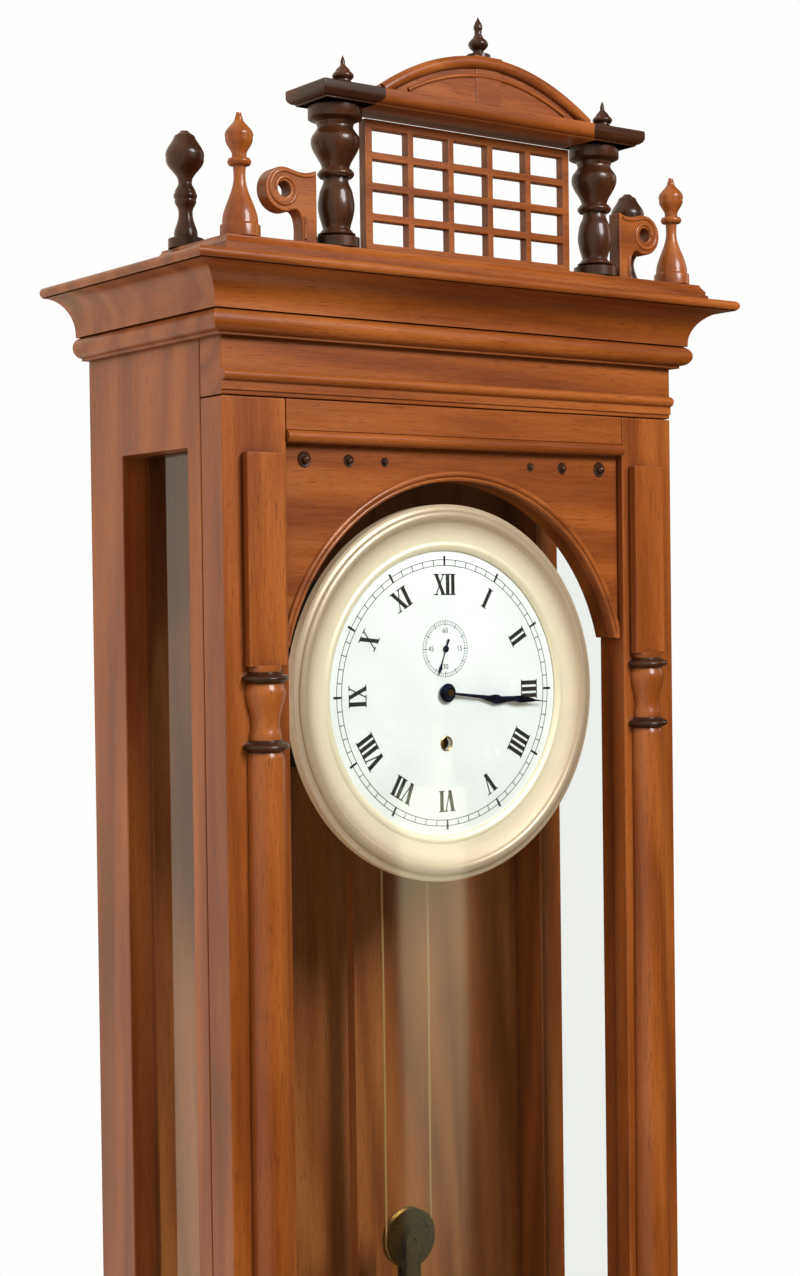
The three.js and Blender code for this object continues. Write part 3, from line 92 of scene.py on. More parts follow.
# Softened edges, and the gap that seated pieces keep
board_edge = 0.0009
trim_edge = 0.0005
metal_edge = 0.0003
edge_segments = 2
weld_distance = 0.00002
seat_gap = 0.0003

sides = (("left", -1), ("right", 1))


def add_object(name, data):
    thing = bpy.data.objects.new(name, data)
    bpy.context.scene.collection.objects.link(thing)
    return thing


def make_camera():
    camera = add_object("camera", bpy.data.cameras.new("camera"))
    turn = Matrix.Rotation(-camera_yaw, 4, "Z") @ Matrix.Rotation(math.pi / 2 + camera_pitch, 4, "X")
    turn = turn @ Matrix.Rotation(camera_roll, 4, "Z")
    camera.matrix_world = Matrix.Translation(camera_place) @ turn
    camera.data.lens = camera_lens
    camera.data.sensor_width = camera_sensor
    bpy.context.scene.camera = camera


make_camera()


class Span:
    """A node's box at rest, with its sides, middle and sizes by name."""

    def __init__(self, node):
        low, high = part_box(node)
        self.x0, self.y0, self.z0 = low
        self.x1, self.y1, self.z1 = high
        self.x, self.y, self.z = (low + high) / 2
        self.width, self.depth, self.height = high - low


# Node trees
def connect(tree, socket, value):
    """Links the output that feeds a socket; a uniform value is set on the socket itself."""
    if isinstance(value, bpy.types.NodeSocket):
        tree.links.new(value, socket)
    else:
        socket.default_value = value


def feed(tree, node, **inputs):
    for key, value in inputs.items():
        connect(tree, node.inputs[key.replace("_", " ")], value)


def add_node(tree, kind, *values, settings=None, output=0, **inputs):
    """The output of a new node; values feed its sockets in their order, and inputs by name."""
    node = tree.nodes.new(f"ShaderNode{kind}")
    for key, value in (settings or {}).items():
        setattr(node, key, value)
    for socket, value in zip(node.inputs, values):
        connect(tree, socket, value)
    feed(tree, node, **inputs)
    return node.outputs[output]


def calculate(tree, operation, *values):
    return add_node(tree, "Math", *values, settings={"operation": operation})


def dot_product(tree, *vectors):
    return add_node(tree, "VectorMath", *vectors, settings={"operation": "DOT_PRODUCT"}, output="Value")


def blend_colours(tree, factor, first, second):
    node = tree.nodes.new("ShaderNodeMix")
    node.data_type = "RGBA"
    sockets = [socket for socket in node.inputs if socket.enabled]
    for socket, value in zip(sockets, (factor, first, second)):
        connect(tree, socket, value)
    return next(socket for socket in node.outputs if socket.enabled)


def remap(tree, value, low, high, new_low, new_high):
    """value stretched from one range to another, and kept inside it."""
    return add_node(tree, "MapRange", value, low, high, new_low, new_high)


def ramp(tree, factor, *stops):
    """A colour ramp's output; stops are (place, colour)."""
    node = tree.nodes.new("ShaderNodeValToRGB")
    tree.links.new(factor, node.inputs[0])
    elements = node.color_ramp.elements
    while len(elements) < len(stops):
        elements.new(1)
    for element, (place, colour) in zip(elements, stops):
        element.position = place
        element.color = colour
    return node.outputs[0]


def linear(value):
    share = value / 255
    return share / 12.92 if share <= 0.04045 else ((share + 0.055) / 1.055) ** 2.4


def paint(*values):
    """A linear colour from the 0 to 255 values that a picture shows."""
    return (*map(linear, values), 1)


def dimmed(colour, share):
    return (*(value * share for value in colour[:3]), 1)


def noise(tree, vector, scale, detail=2, **more):
    return add_node(tree, "TexNoise", Vector=vector, Scale=scale, Detail=detail, **more)


def stretched(tree, vector, along, share):
    """Coordinates that change slowly along one axis."""
    scale = [share if axis == along else 1 for axis in "XYZ"]
    return add_node(tree, "Mapping", Vector=vector, Scale=scale)


def bumped(tree, height, strength, distance):
    return add_node(tree, "Bump", Strength=strength, Distance=distance, Height=height)


def corner_dirt_and_shade(tree, reach, tight_share, most):
    """Painted shade and dust in corners, from none in the open to the most in tight corners."""
    corners = add_node(tree, "AmbientOcclusion", settings={"samples": 6}, output="AO", Distance=reach)
    return remap(tree, corners, tight_share, 0.85, most, 0)


def new_material(name):
    """A material with its tree, its shader and the coordinates on its object."""
    material = bpy.data.materials.new(name)
    material.use_nodes = True
    tree = material.node_tree
    return material, tree, tree.nodes["Principled BSDF"], add_node(tree, "TexCoord", output="Object")


# Grain: scales are per metre across the grain, and shares are what is left of them along it
figure_scale = 42
band_scale = 17
fibre_scale = 620
pore_scale = 1500
mottle_scale = 9
figure_share = 0.09
fibre_share = 0.045
pore_share = 0.07
grain_shift = 3.7
grain_depth = 0.0003
# How far the corner darkening reaches on wood: painted shade with some dust.
dirt_and_shade_distance = 0.012
wear_radius = 0.0022

# Metal: cloud and spot scales per metre
cloud_scale = 46
spot_scale = 520
# How far the corner darkening reaches on metal: painted shade with some dust.
grime_and_shade_distance = 0.006
tool_mark_depth = 0.0002

# Glass: waves per metre, their share left up the pane, their depth, and what both faces mirror over one
glass_wave_scale = 14
glass_wave_share = 0.3
glass_wave_depth = 0.001
glass_faces_share = 1.4


def wood(name, slot, along, polish, coat, light, middle, dark):
    """Polished wood with figure, fibres, open pores, dusty corners darkened by painted shade, and worn
    arrises.
    """
    material, tree, shader, place = new_material(name)
    shift = calculate(tree, "MULTIPLY", add_node(tree, "ObjectInfo", output="Random"), grain_shift)
    moved = add_node(tree, "VectorMath", place, shift, settings={"operation": "ADD"})
    slow = stretched(tree, moved, along, figure_share)
    figure = noise(tree, slow, figure_scale, 5, Roughness=0.6, Distortion=0.8)
    bands = add_node(tree, "TexWave", settings={"bands_direction": "DIAGONAL"}, output="Fac", Vector=slow,
                     Scale=band_scale, Distortion=7, Detail=3, Detail_Scale=1.4)
    fibres = noise(tree, stretched(tree, moved, along, fibre_share), fibre_scale, 3, Roughness=0.65)
    speckle = noise(tree, stretched(tree, moved, along, pore_share), pore_scale, 1)
    pores = remap(tree, speckle, 0.6, 0.69, 0, 1)
    tone = calculate(tree, "MULTIPLY", figure, 0.46)
    for pattern, share in ((bands, 0.2), (fibres, 0.2), (noise(tree, moved, mottle_scale), 0.24)):
        tone = calculate(tree, "MULTIPLY_ADD", pattern, share, tone)
    body = ramp(tree, tone, (0.29, dark), (0.52, middle), (0.76, light))
    body = blend_colours(tree, calculate(tree, "MULTIPLY", pores, 0.55), body, dark)

    soft_normal = add_node(tree, "Bevel", settings={"samples": 4}, Radius=wear_radius)
    facing = dot_product(tree, soft_normal, add_node(tree, "NewGeometry", output="Normal"))
    wear = remap(tree, facing, 0.97, 0.8, 0, 0.4)
    rubbed = calculate(tree, "MULTIPLY", wear, remap(tree, fibres, 0.4, 0.62, 0.2, 1))
    body = blend_colours(tree, rubbed, body, light)
    # Corners darkened towards a dimmed dark colour by ambient occlusion: painted shade with some dust. The
    # same mask roughens the finish.
    dirt_and_shade = corner_dirt_and_shade(tree, dirt_and_shade_distance, 0.3, 0.62)
    body = blend_colours(tree, dirt_and_shade, body, dimmed(dark, 0.45))

    gloss = remap(tree, fibres, 0.3, 0.7, polish - 0.07, polish + 0.12)
    gloss = calculate(tree, "MULTIPLY_ADD", dirt_and_shade, 0.3, gloss)
    relief = calculate(tree, "MULTIPLY_ADD", pores, -0.8, fibres)
    feed(tree, shader, Base_Color=body, Roughness=gloss, Normal=bumped(tree, relief, 0.22, grain_depth),
         IOR=1.5, Specular_IOR_Level=0.2, Coat_Weight=coat, Coat_Roughness=0.16, Coat_IOR=1.5)
    return material, slot


def metal(name, slot, bright, dull, smooth, rough, spun=None, ring_scale=2600, bare=1.0, painted_sheen=None):
    """Metal with tarnish, and painted shade with some dust in its corners. spun gives the axes that its
    turned lines vary on and their centre, bare the share free of lacquer, and pale a colour of painted sheen
    round the centre, with the radii between which it fades."""
    material, tree, shader, place = new_material(name)
    cloud = noise(tree, place, cloud_scale, 4, Roughness=0.6)
    height = noise(tree, place, spot_scale, 3, Roughness=0.6)
    age = calculate(tree, "MULTIPLY_ADD", height, 0.35, calculate(tree, "MULTIPLY", cloud, 0.65))
    # Corners darkened by ambient occlusion: painted shade with some dust.
    grime_and_shade = corner_dirt_and_shade(tree, grime_and_shade_distance, 0.35, 0.75)
    body = ramp(tree, age, (0.38, dull), (0.6, bright))
    body = blend_colours(tree, grime_and_shade, body, dimmed(dull, 0.35))
    if spun:
        kept, centre = spun
        shift = [-value * share for value, share in zip(centre, kept)]
        local = add_node(tree, "Mapping", Vector=place, Location=shift, Scale=kept)
        far = add_node(tree, "VectorMath", local, settings={"operation": "LENGTH"}, output="Value")
        height = add_node(tree, "TexNoise", settings={"noise_dimensions": "1D"}, W=far, Scale=ring_scale,
                          Detail=2)
        # A lighter colour blended in round the centre: painted sheen.
        if painted_sheen:
            colour, near, beyond = painted_sheen
            body = blend_colours(tree, remap(tree, far, near, beyond, 1, 0), body, colour)
    feed(tree, shader, Base_Color=body, Roughness=remap(tree, age, 0.35, 0.65, rough, smooth),
         Normal=bumped(tree, height, 0.12, tool_mark_depth), Metallic=bare)
    return material, slot


def clouded(name, slot, scale, dark, light, smooth, rough, **uniform):
    """A smooth skin whose colour and gloss vary in soft clouds; dark and light are a ramp's stops."""
    material, tree, shader, place = new_material(name)
    cloud = noise(tree, place, scale, 3)
    feed(tree, shader, Base_Color=ramp(tree, cloud, dark, light),
         Roughness=remap(tree, cloud, 0.3, 0.7, smooth, rough), **uniform)
    return material, slot


def enamel():
    """Fired white enamel: a glossy skin with a faint unevenness and a few specks."""
    ripple_depth = 0.0004
    material, tree, shader, place = new_material("enamel")
    cloud = noise(tree, place, 24, 3)
    specks = remap(tree, noise(tree, place, 900, 1), 0.74, 0.78, 0, 0.35)
    body = ramp(tree, cloud, (0.35, paint(230, 236, 238)), (0.65, paint(240, 246, 248)))
    body = blend_colours(tree, specks, body, paint(170, 158, 132))
    feed(tree, shader, Base_Color=body, Roughness=remap(tree, cloud, 0.3, 0.7, 0.2, 0.3),
         Normal=bumped(tree, noise(tree, place, 130, 1), 0.08, ripple_depth),
         Coat_Weight=0.8, Coat_Roughness=0.06, Coat_IOR=1.52)
    return material, "enamel"


def glass():
    """Old window glass: it lets light through, and its outer faces mirror the room in gentle waves."""
    material, tree, shader, place = new_material("clear_glass")
    tree.nodes.remove(shader)
    waves = noise(tree, stretched(tree, place, "Z", glass_wave_share), glass_wave_scale, 1)
    through = add_node(tree, "BsdfTransparent", Color=paint(254, 255, 254))
    mirror = add_node(tree, "BsdfGlossy", Roughness=0.04, Normal=bumped(tree, waves, 0.05, glass_wave_depth))
    both_faces = calculate(tree, "MULTIPLY", add_node(tree, "Fresnel", IOR=1.5), glass_faces_share)
    outside = calculate(tree, "SUBTRACT", 1, add_node(tree, "NewGeometry", output="Backfacing"))
    mixed = add_node(tree, "MixShader", calculate(tree, "MULTIPLY", both_faces, outside), through, mirror)
    feed(tree, tree.nodes["Material Output"], Surface=mixed)
    return material, "clear_glass"


def gut():
    """Twisted gut: slanted strands with a waxy surface."""
    strand_depth = 0.0003
    scatter = (0.001, 0.0006, 0.0003)
    material, tree, shader, place = new_material("gut_line")
    strands = add_node(tree, "TexWave", settings={"bands_direction": "DIAGONAL"}, output="Fac", Vector=place,
                       Scale=420, Distortion=0.4)
    feed(tree, shader, Base_Color=ramp(tree, strands, (0.2, paint(112, 82, 40)), (0.7, paint(188, 152, 92))),
         Normal=bumped(tree, strands, 0.4, strand_depth), Roughness=0.42, Subsurface_Weight=0.1,
         Subsurface_Radius=scatter)
    return material, "gut_line"


def along_both(name, slot, *looks):
    """One wood with its grain along X, and along Z."""
    return {axis: wood(f"{name}_along_{axis}", slot, axis, *looks) for axis in "XZ"}


case_wood = along_both("walnut", "case_wood", 0.4, 0.36,
                       paint(158, 88, 34), paint(131, 66, 17), paint(92, 38, 7))
dark_wood = along_both("stained", "dark_wood", 0.34, 0.3,
                       paint(78, 42, 20), paint(52, 26, 12), paint(28, 13, 6))
inner_wood = wood("inner_along_Z", "inner_wood", "Z", 0.5, 0.08,
                  paint(160, 98, 48), paint(134, 74, 30), paint(90, 44, 14))

bob = Span("pendulum_bob")
rim_radius = Span("bezel").width / 2
turned_on_y = (1, 0, 1)
turned_on_z = (0, 0, 1)
# The bezel's colours are its brass made far lighter, partly as painted reflection, and lighter still round
# its inner part as painted sheen.
painted_bezel_sheen = (paint(246, 236, 208), rim_radius * 0.8, rim_radius * 0.92)
fresh_brass = (paint(222, 180, 104), paint(164, 120, 58))
brass = metal("brass", "brass", paint(214, 172, 98), paint(150, 108, 52), 0.2, 0.42)
spun_bob = metal("spun_brass_bob", "brass", *fresh_brass, 0.16, 0.34, (turned_on_y, (bob.x, bob.y, bob.z)))
spun_weight = metal("turned_brass_weight", "brass", *fresh_brass, 0.14, 0.3, (turned_on_z, (0, 0, 0)))
spun_bezel = metal("spun_bezel", "bezel_brass", paint(255, 232, 204), paint(246, 218, 184), 0.32, 0.46,
                   (turned_on_y, (0, 0, 0)), 1700, 0.35, painted_bezel_sheen)
aged_brass = metal("aged_brass", "brass", paint(112, 84, 42), paint(62, 44, 20), 0.3, 0.5)
steel = metal("steel", "steel", paint(176, 176, 176), paint(112, 108, 104), 0.25, 0.45)
cast_iron = metal("cast_iron", "cast_iron", paint(62, 58, 54), paint(36, 33, 30), 0.5, 0.7)
blued = clouded("blued_steel", "blued_steel", 180, (0.4, paint(16, 20, 38)), (0.62, paint(34, 44, 84)),
                0.22, 0.38, Metallic=0.9)
ink = clouded("dial_ink", "enamel", 700, (0.35, paint(16, 16, 18)), (0.7, paint(52, 50, 50)), 0.4, 0.6,
              Specular_IOR_Level=0.2)
white_enamel = enamel()
clear_glass = glass()
gut_line = gut()


# Shapes: each returns points and faces of one closed skin
def arc(centre, radius, start, end, steps=arc_steps, last_radius=None):
    """Points on an arc in a plane, with angles in degrees, or on a spiral to its last radius."""
    growth = 0 if last_radius is None else last_radius - radius
    points = []
    for step in range(steps + 1):
        share = step / steps
        angle = math.radians(start + (end - start) * share)
        reach = radius + growth * share
        points.append((centre[0] + reach * math.cos(angle), centre[1] + reach * math.sin(angle)))
    return points


def line(start, end, steps):
    """Points on a straight line in a plane."""
    return [tuple(a + (b - a) * step / steps for a, b in zip(start, end)) for step in range(steps + 1)]


def curve_between(*controls):
    """Points on a cubic curve with four control points, without the first."""
    steps = arc_steps * 2
    points = []
    for t in (step / steps for step in range(1, steps + 1)):
        weights = ((1 - t) ** 3, 3 * t * (1 - t) ** 2, 3 * t * t * (1 - t), t ** 3)
        points.append(tuple(sum(weight * value for weight, value in zip(weights, values))
                            for values in zip(*controls)))
    return points


def quad(x0, half0, z0, x1, half1, z1):
    """Four corners: half0 to each side of x0 at z0, and half1 to each side of x1 at z1."""
    return [(x0 - half0, z0), (x0 + half0, z0), (x1 + half1, z1), (x1 - half1, z1)]


def eased(share):
    return share * share * (3 - 2 * share)


def loft(rings, closed=False, capped=True):
    """A skin through rings of equal length: closed joins the last ring to the first, capped ends it flat."""
    count = len(rings[0])
    points = [point for ring in rings for point in ring]
    faces = []
    for index in range(len(rings) if closed else len(rings) - 1):
        this = index * count
        after = (index + 1) % len(rings) * count
        for step in range(count):
            beside = (step + 1) % count
            faces.append((this + step, this + beside, after + beside, after + step))
    if capped and not closed:
        faces.append(tuple(reversed(range(count))))
        faces.append(tuple(range(len(points) - count, len(points))))
    return points, faces


def prism(outline, front, back):
    """An outline in X and Z, given depth."""
    return loft([[(x, y, z) for x, z in outline] for y in (front, back)])


def block(x0, x1, y0, y1, z0, z1):
    return prism([(x0, z0), (x1, z0), (x1, z1), (x0, z1)], y0, y1)


def bar_along_x(section, box):
    """A section in Y and Z, run the whole width of a box."""
    return loft([[(x, y, z) for y, z in section] for x in (box.x0, box.x1)])


def swept(path, section, face):
    """A section of (across, proud of the face) points run along a path of (x, z) points."""
    rings = []
    for index, (x, z) in enumerate(path):
        before = Vector(path[max(index - 1, 0)])
        after = Vector(path[min(index + 1, len(path) - 1)])
        along = (after - before).normalized()
        rings.append([(x - along.y * u, face - v, z + along.x * u) for u, v in section])
    return loft(rings)


def bead_along(path, radius, face):
    """A half-round bead on a flat face."""
    return swept(path, arc((0, 0), radius, 180, 0), face)


def around(centre, axis, angle, radius, distance):
    """A point at an angle, a radius and a distance along an axis through the centre."""
    u = radius * math.cos(angle)
    v = radius * math.sin(angle)
    offset = (u, v, distance) if axis == "Z" else (u, distance, v)
    return tuple(start + step for start, step in zip(centre, offset))


def turned(profile, centre, axis="Y", steps=turned_steps):
    """A turned solid; profile is (radius, distance along the axis) from pole to pole."""
    turns = [2 * math.pi * step / steps for step in range(steps)]
    rings = [[around(centre, axis, angle, *place) for angle in turns] for place in profile[1:-1]]
    points, faces = loft(rings, capped=False)
    pole = len(points)
    last = pole - steps
    points += [around(centre, axis, 0, *profile[0]), around(centre, axis, 0, *profile[-1])]
    for step in range(steps):
        beside = (step + 1) % steps
        faces += [(pole, beside, step), (pole + 1, last + step, last + beside)]
    return points, faces


def turned_ring(profile, centre, steps=turned_steps):
    """A ring turned about Y; profile is a closed outline of (radius, distance along the axis)."""
    turns = [2 * math.pi * step / steps for step in range(steps)]
    return loft([[around(centre, "Y", angle, *place) for place in profile] for angle in turns], closed=True)


def rod(radius, start, end, centre, axis="Y", steps=bore_steps):
    """A plain round rod or bore."""
    return turned([(0, start), (radius, start), (radius, end), (0, end)], centre, axis, steps)


def half_turned(profile, x, face):
    """The front half of a turned shape against a flat face; profile is (radius, height)."""
    return loft([[(*point, z) for point in arc((x, face), radius, 180, 360, bore_steps)]
                 for radius, z in profile])


def turning(shares, radius, height, foot=0, poles=True):
    """A turned profile from foot to tip. Each of its shares is (end radius, rise, bulge): an S-curve to its
    end radius, swelled by a bead or hollowed by a cove. The bulge may be left out."""
    width = shares[0][0]
    points = [(width * radius, foot)]
    at = 0
    for end, rise, *bulges in shares[1:]:
        bulge = sum(bulges)
        steps = 1 if rise == 0 or (bulge == 0 and end == width) else element_steps
        for t in (step / steps for step in range(1, steps + 1)):
            reach = width + (end - width) * eased(t) + bulge * math.sin(math.pi * t)
            points.append((reach * radius, foot + (at + rise * t) * height))
        at += rise
        width = end
    return [(0, foot), *points, (0, foot + at * height)] if poles else points


def moulded_slab(x0, x1, y0, y1, steps):
    """A board whose edge steps in and out; steps are (height, inset on all four sides)."""
    return loft([[(x0 + inset, y0 + inset, z), (x1 - inset, y0 + inset, z),
                  (x1 - inset, y1 - inset, z), (x0 + inset, y1 - inset, z)] for z, inset in steps])


def sided(skin, side):
    """A skin on the right, or its mirror image on the left."""
    points, faces = skin
    return [(side * x, y, z) for x, y, z in points], faces


# Pieces
def soften(thing, width):
    """Rounds the sharp edges and keeps the flat faces flat."""
    edge = thing.modifiers.new("soft_edges", "BEVEL")
    edge.width = width
    edge.segments = edge_segments
    edge.limit_method = "ANGLE"
    edge.angle_limit = bevel_limit
    edge.harden_normals = True


def skin_mesh(name, skins):
    """A mesh of closed skins, with their faces turned outwards."""
    mesh = bpy.data.meshes.new(name)
    build = bmesh.new()
    for points, faces in skins:
        vertices = [build.verts.new(point) for point in points]
        for face in faces:
            build.faces.new([vertices[index] for index in face])
    bmesh.ops.recalc_face_normals(build, faces=build.faces)
    build.to_mesh(mesh)
    build.free()
    return mesh


def give(thing, finish, body):
    """Gives a piece its finish and its body."""
    material, slot = finish
    thing.data.materials.append(material)
    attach(thing, body)


def piece(name, skins, finish, node=None, edge=0, body=None):
    """One object from closed skins: in place of a node, or on a body where it comes on top."""
    mesh = skin_mesh(name, skins)
    mesh.shade_smooth()
    mesh.set_sharp_from_angle(angle=smooth_limit)
    thing = add_object(name, mesh)
    if edge:
        soften(thing, edge)
    give(thing, finish, body or body_of[node])
    if node:
        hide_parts(node)
    return thing


def cut_away(thing, *cutters):
    """Cuts closed skins out of a piece."""
    for skin in cutters:
        cutter = add_object("cutter", skin_mesh("cutter", [skin]))
        hole = thing.modifiers.new("cut", "BOOLEAN")
        hole.operation = "DIFFERENCE"
        hole.solver = "EXACT"
        hole.object = cutter
        bpy.context.view_layer.update()
        shaped = thing.evaluated_get(bpy.context.evaluated_depsgraph_get())
        result = bpy.data.meshes.new_from_object(shaped)
        thing.modifiers.remove(hole)
        thing.data = result
        bpy.data.objects.remove(cutter)
    thing.data.set_sharp_from_angle(angle=smooth_limit)


def dress(finish, edge, *nodes):
    """Nodes shown as they are, with their finish and softened edges."""
    for node in nodes:
        thing = frame["nodes"][node]
        thing.data.materials.clear()
        thing.data.materials.append(finish[0])
        weld = thing.modifiers.new("weld", "WELD")
        weld.merge_threshold = weld_distance
        soften(thing, edge)


def dress_nodes():
    dress(inner_wood, board_edge, "backboard")
    dress(inner_wood, trim_edge, "pendulum_rod")
    dress(case_wood["X"], board_edge, "top_board", "bottom_board")
    dress(case_wood["X"], trim_edge, "crest_lattice", "door_bottom_rail")
    dress(clear_glass, metal_edge, "door_glass")
    for side, _ in sides:
        dress(case_wood["Z"], board_edge, f"case_side_{side}", f"door_stile_{side}")
        dress(clear_glass, metal_edge, f"side_glass_{side}")
    dress(brass, metal_edge, "front_plate", "back_plate", "great_wheel", "barrel", "centre_wheel",
          "minute_wheel", "hour_wheel", "third_wheel", "escape_wheel")
    dress(steel, metal_edge, "wall_plate", "pallets")
    dress(steel, metal_edge / 2, "suspension_spring")
    dress(cast_iron, trim_edge, "movement_bracket")


# Spans and places used by several pieces
body_half = Span("top_board").x1
body_front = Span("top_board").y0
dial_face = Span("dial").y0
wheel = Span("pulley")
rail = Span("door_top_rail")
door_recess = 0.005


# Case
def frieze():
    """The board over the door, with a bead and a small hollow under it."""
    box = Span("frieze")
    bead_bottom = 0.169
    bead_height = 0.012
    bead_top = bead_bottom + bead_height
    radius = (body_front - box.y0) / 2
    bead_y = body_front - radius / 2
    face = body_front + board_edge
    board = block(box.x0, box.x1, body_front, box.y1, box.z0, box.z1)
    section = [(face, bead_bottom), (bead_y, bead_bottom)]
    section += arc((bead_y, bead_top - radius * 2), radius * 1.5, 270, 90) + [(face, bead_top)]
    piece("frieze_board", [board], case_wood["X"], "frieze", board_edge)
    piece("frieze_bead", [bar_along_x(section, box)], case_wood["X"], "frieze", trim_edge)


def case_moulding(name, node, profile, lip):
    """A mitred moulding round the front and both sides, under a rounded lip; profile is (out, height)."""
    box = Span(node)
    overhang = box.x1 - body_half
    rounded = arc((overhang - lip / 2, box.z1 - lip / 2), lip / 2, -90, 90)
    profile = [(seat_gap, box.z0), *profile, *rounded, (seat_gap, box.z1)]
    stations = ((-1, box.y1, 0), (-1, body_front, 1), (1, body_front, 1), (1, box.y1, 0))
    rings = [[(side * (body_half + out), y - out * forward, z) for out, z in profile]
             for side, y, forward in stations]
    piece(name, [loft(rings)], case_wood["X"], node, trim_edge)


def cornice():
    """A bead and a wide cove under the top board."""
    box = Span("cornice")
    overhang = box.x1 - body_half
    bead = 0.006
    bead_out = overhang / 3 - bead
    bead_z = box.z0 + bead * 1.25
    fillet = overhang / 10
    cove_bottom = bead_z + bead + fillet / 2
    cove_top = box.z1 - bead
    cove = cove_top - cove_bottom
    cove_out = overhang - fillet
    profile = [(bead_out, box.z0)] + arc((bead_out, bead_z), bead, -90, 90)
    profile += [(cove_out - cove, bead_z + bead)]
    profile += arc((cove_out, cove_bottom), cove, 180, 90, arc_steps * 2)
    profile += [(overhang - fillet / 2, cove_top)]
    case_moulding("cornice_moulding", "cornice", profile, bead)


def base():
    """A quarter round, a hollow and a foot under the door."""
    box = Span("base_moulding")
    overhang = box.x1 - body_half
    radius = box.height / 4
    lip = box.height / 8
    waist = overhang / 3
    middle = box.z1 - lip - radius
    profile = [(overhang / 2, box.z0), (overhang / 2, box.z0 + lip)]
    profile += arc((waist + radius, middle - radius), radius, 270, 180) + [(waist, middle)]
    profile += arc((overhang - radius, middle), radius, 0, 90) + [(overhang - radius, box.z1 - lip)]
    case_moulding("base_moulding_fine", "base_moulding", profile, lip)


def bottom_drop():
    """The ogee drop under the case, and the tray that it hangs from."""
    box = Span("bottom_drop")
    tray_bottom = Span("base_moulding").z0
    top_half = 0.15
    top_front = 0.135
    foot_half = 0.042
    foot_front = 0.046
    stations = 28
    rings = []
    for share in (station / stations for station in range(stations + 1)):
        swell = 0.5 + 0.5 * math.cos(math.pi * share ** 0.8)
        half = foot_half + (top_half - foot_half) * swell
        front = -foot_front - (top_front - foot_front) * swell
        z = tray_bottom - (tray_bottom - box.z0) * share
        rings.append([(-half, 0, z), (-half, front, z), (half, front, z), (half, 0, z)])
    tray = block(box.x0, box.x1, box.y0, 0, tray_bottom, box.z1)
    piece("bottom_drop_fine", [loft(rings), tray], case_wood["X"], "bottom_drop", board_edge)


# Turned pieces: shares of (end radius, rise, bulge)
drop_shares = [(0.0, 0), (0.3, 0.1, 0.14), (0.2, 0.08), (0.26, 0.03), (1.0, 0.37, 0.05), (0.42, 0.2, 0.08),
               (0.38, 0.03), (0.85, 0.03), (0.85, 0.08, 0.14), (0.65, 0.02), (0.65, 0.06)]
corner_shares = [(0.95, 0), (0.95, 0.09), (0.84, 0.02), (0.84, 0.03), (0.28, 0.37, -0.06), (0.3, 0.06),
                 (0.5, 0.01), (0.5, 0.05, 0.06), (0.34, 0.01), (0.34, 0.03), (0.64, 0.13, 0.05),
                 (0.2, 0.14, 0.12), (0.12, 0.06), (0.0, 0.0)]
side_shares = [(0.85, 0), (0.85, 0.08), (0.56, 0.02), (0.56, 0.04), (0.36, 0.2, -0.08), (0.5, 0.08, 0.05),
               (0.5, 0.06, 0.06), (0.32, 0.08), (0.34, 0.03), (0.9, 0.18, 0.08), (0.5, 0.18, 0.1),
               (0.2, 0.05)]
post_shares = [(0.85, 0), (0.85, 0.07), (0.6, 0.01), (0.6, 0.03, 0.1), (0.5, 0.03), (0.62, 0.24, 0.1),
               (0.46, 0.1), (0.46, 0.02), (0.6, 0.0), (0.6, 0.05, 0.08), (0.5, 0.02), (0.9, 0.2, 0.06),
               (0.66, 0.09), (0.7, 0.03), (1.0, 0.03), (1.0, 0.08)]
top_shares = [(1.0, 0), (1.0, 0.1), (0.5, 0.04), (0.42, 0.06), (0.42, 0.3, 0.4), (0.3, 0.08), (0.3, 0.1),
              (0.36, 0.02), (0.0, 0.3, 0.06)]
cap_shares = [(1.0, 0), (1.0, 0.16), (0.55, 0.1), (0.55, 0.04), (0.5, 0.24, 0.22), (0.16, 0.2),
              (0.0, 0.26, 0.04)]


def turned_piece(name, node, shares, finish):
    """A turned piece as tall and wide as its node."""
    box = Span(node)
    profile = turning(shares, box.width / 2, box.height, box.z0)
    piece(f"{name}_turned", [turned(profile, (box.x, box.y, 0), "Z")], finish, node)


def turned_pieces():
    turned_piece("drop_finial", "drop_finial", drop_shares, dark_wood["Z"])
    turned_piece("top_finial", "top_finial", top_shares, dark_wood["Z"])
    for side, _ in sides:
        turned_piece(f"post_{side}", f"crest_post_{side}", post_shares, dark_wood["Z"])
        turned_piece(f"corner_finial_{side}", f"corner_finial_{side}", corner_shares, case_wood["Z"])
        turned_piece(f"side_finial_{side}", f"side_finial_{side}", side_shares, dark_wood["Z"])


# Cresting
def crest_base():
    box = Span("crest_base")
    step = box.height / 4
    steps = [(box.z0, 0), (box.z0 + step, 0), (box.z0 + step, step / 2), (box.z0 + step * 2, step / 2),
             (box.z0 + step * 3, step * 1.2), (box.z1 - step / 2, step * 1.6), (box.z1, step * 1.6)]
    slab = moulded_slab(box.x0, box.x1, box.y0, box.y1, steps)
    piece("crest_base_moulded", [slab], case_wood["X"], "crest_base", trim_edge)


def flat_arch(half, rise, bottom):
    """The curve of the pediment's upper edge, from right to left."""
    steps = arch_steps // 2
    shares = [1 - 2 * step / steps for step in range(steps + 1)]
    return [(half * share, bottom + rise * (1 - share ** 2)) for share in shares]


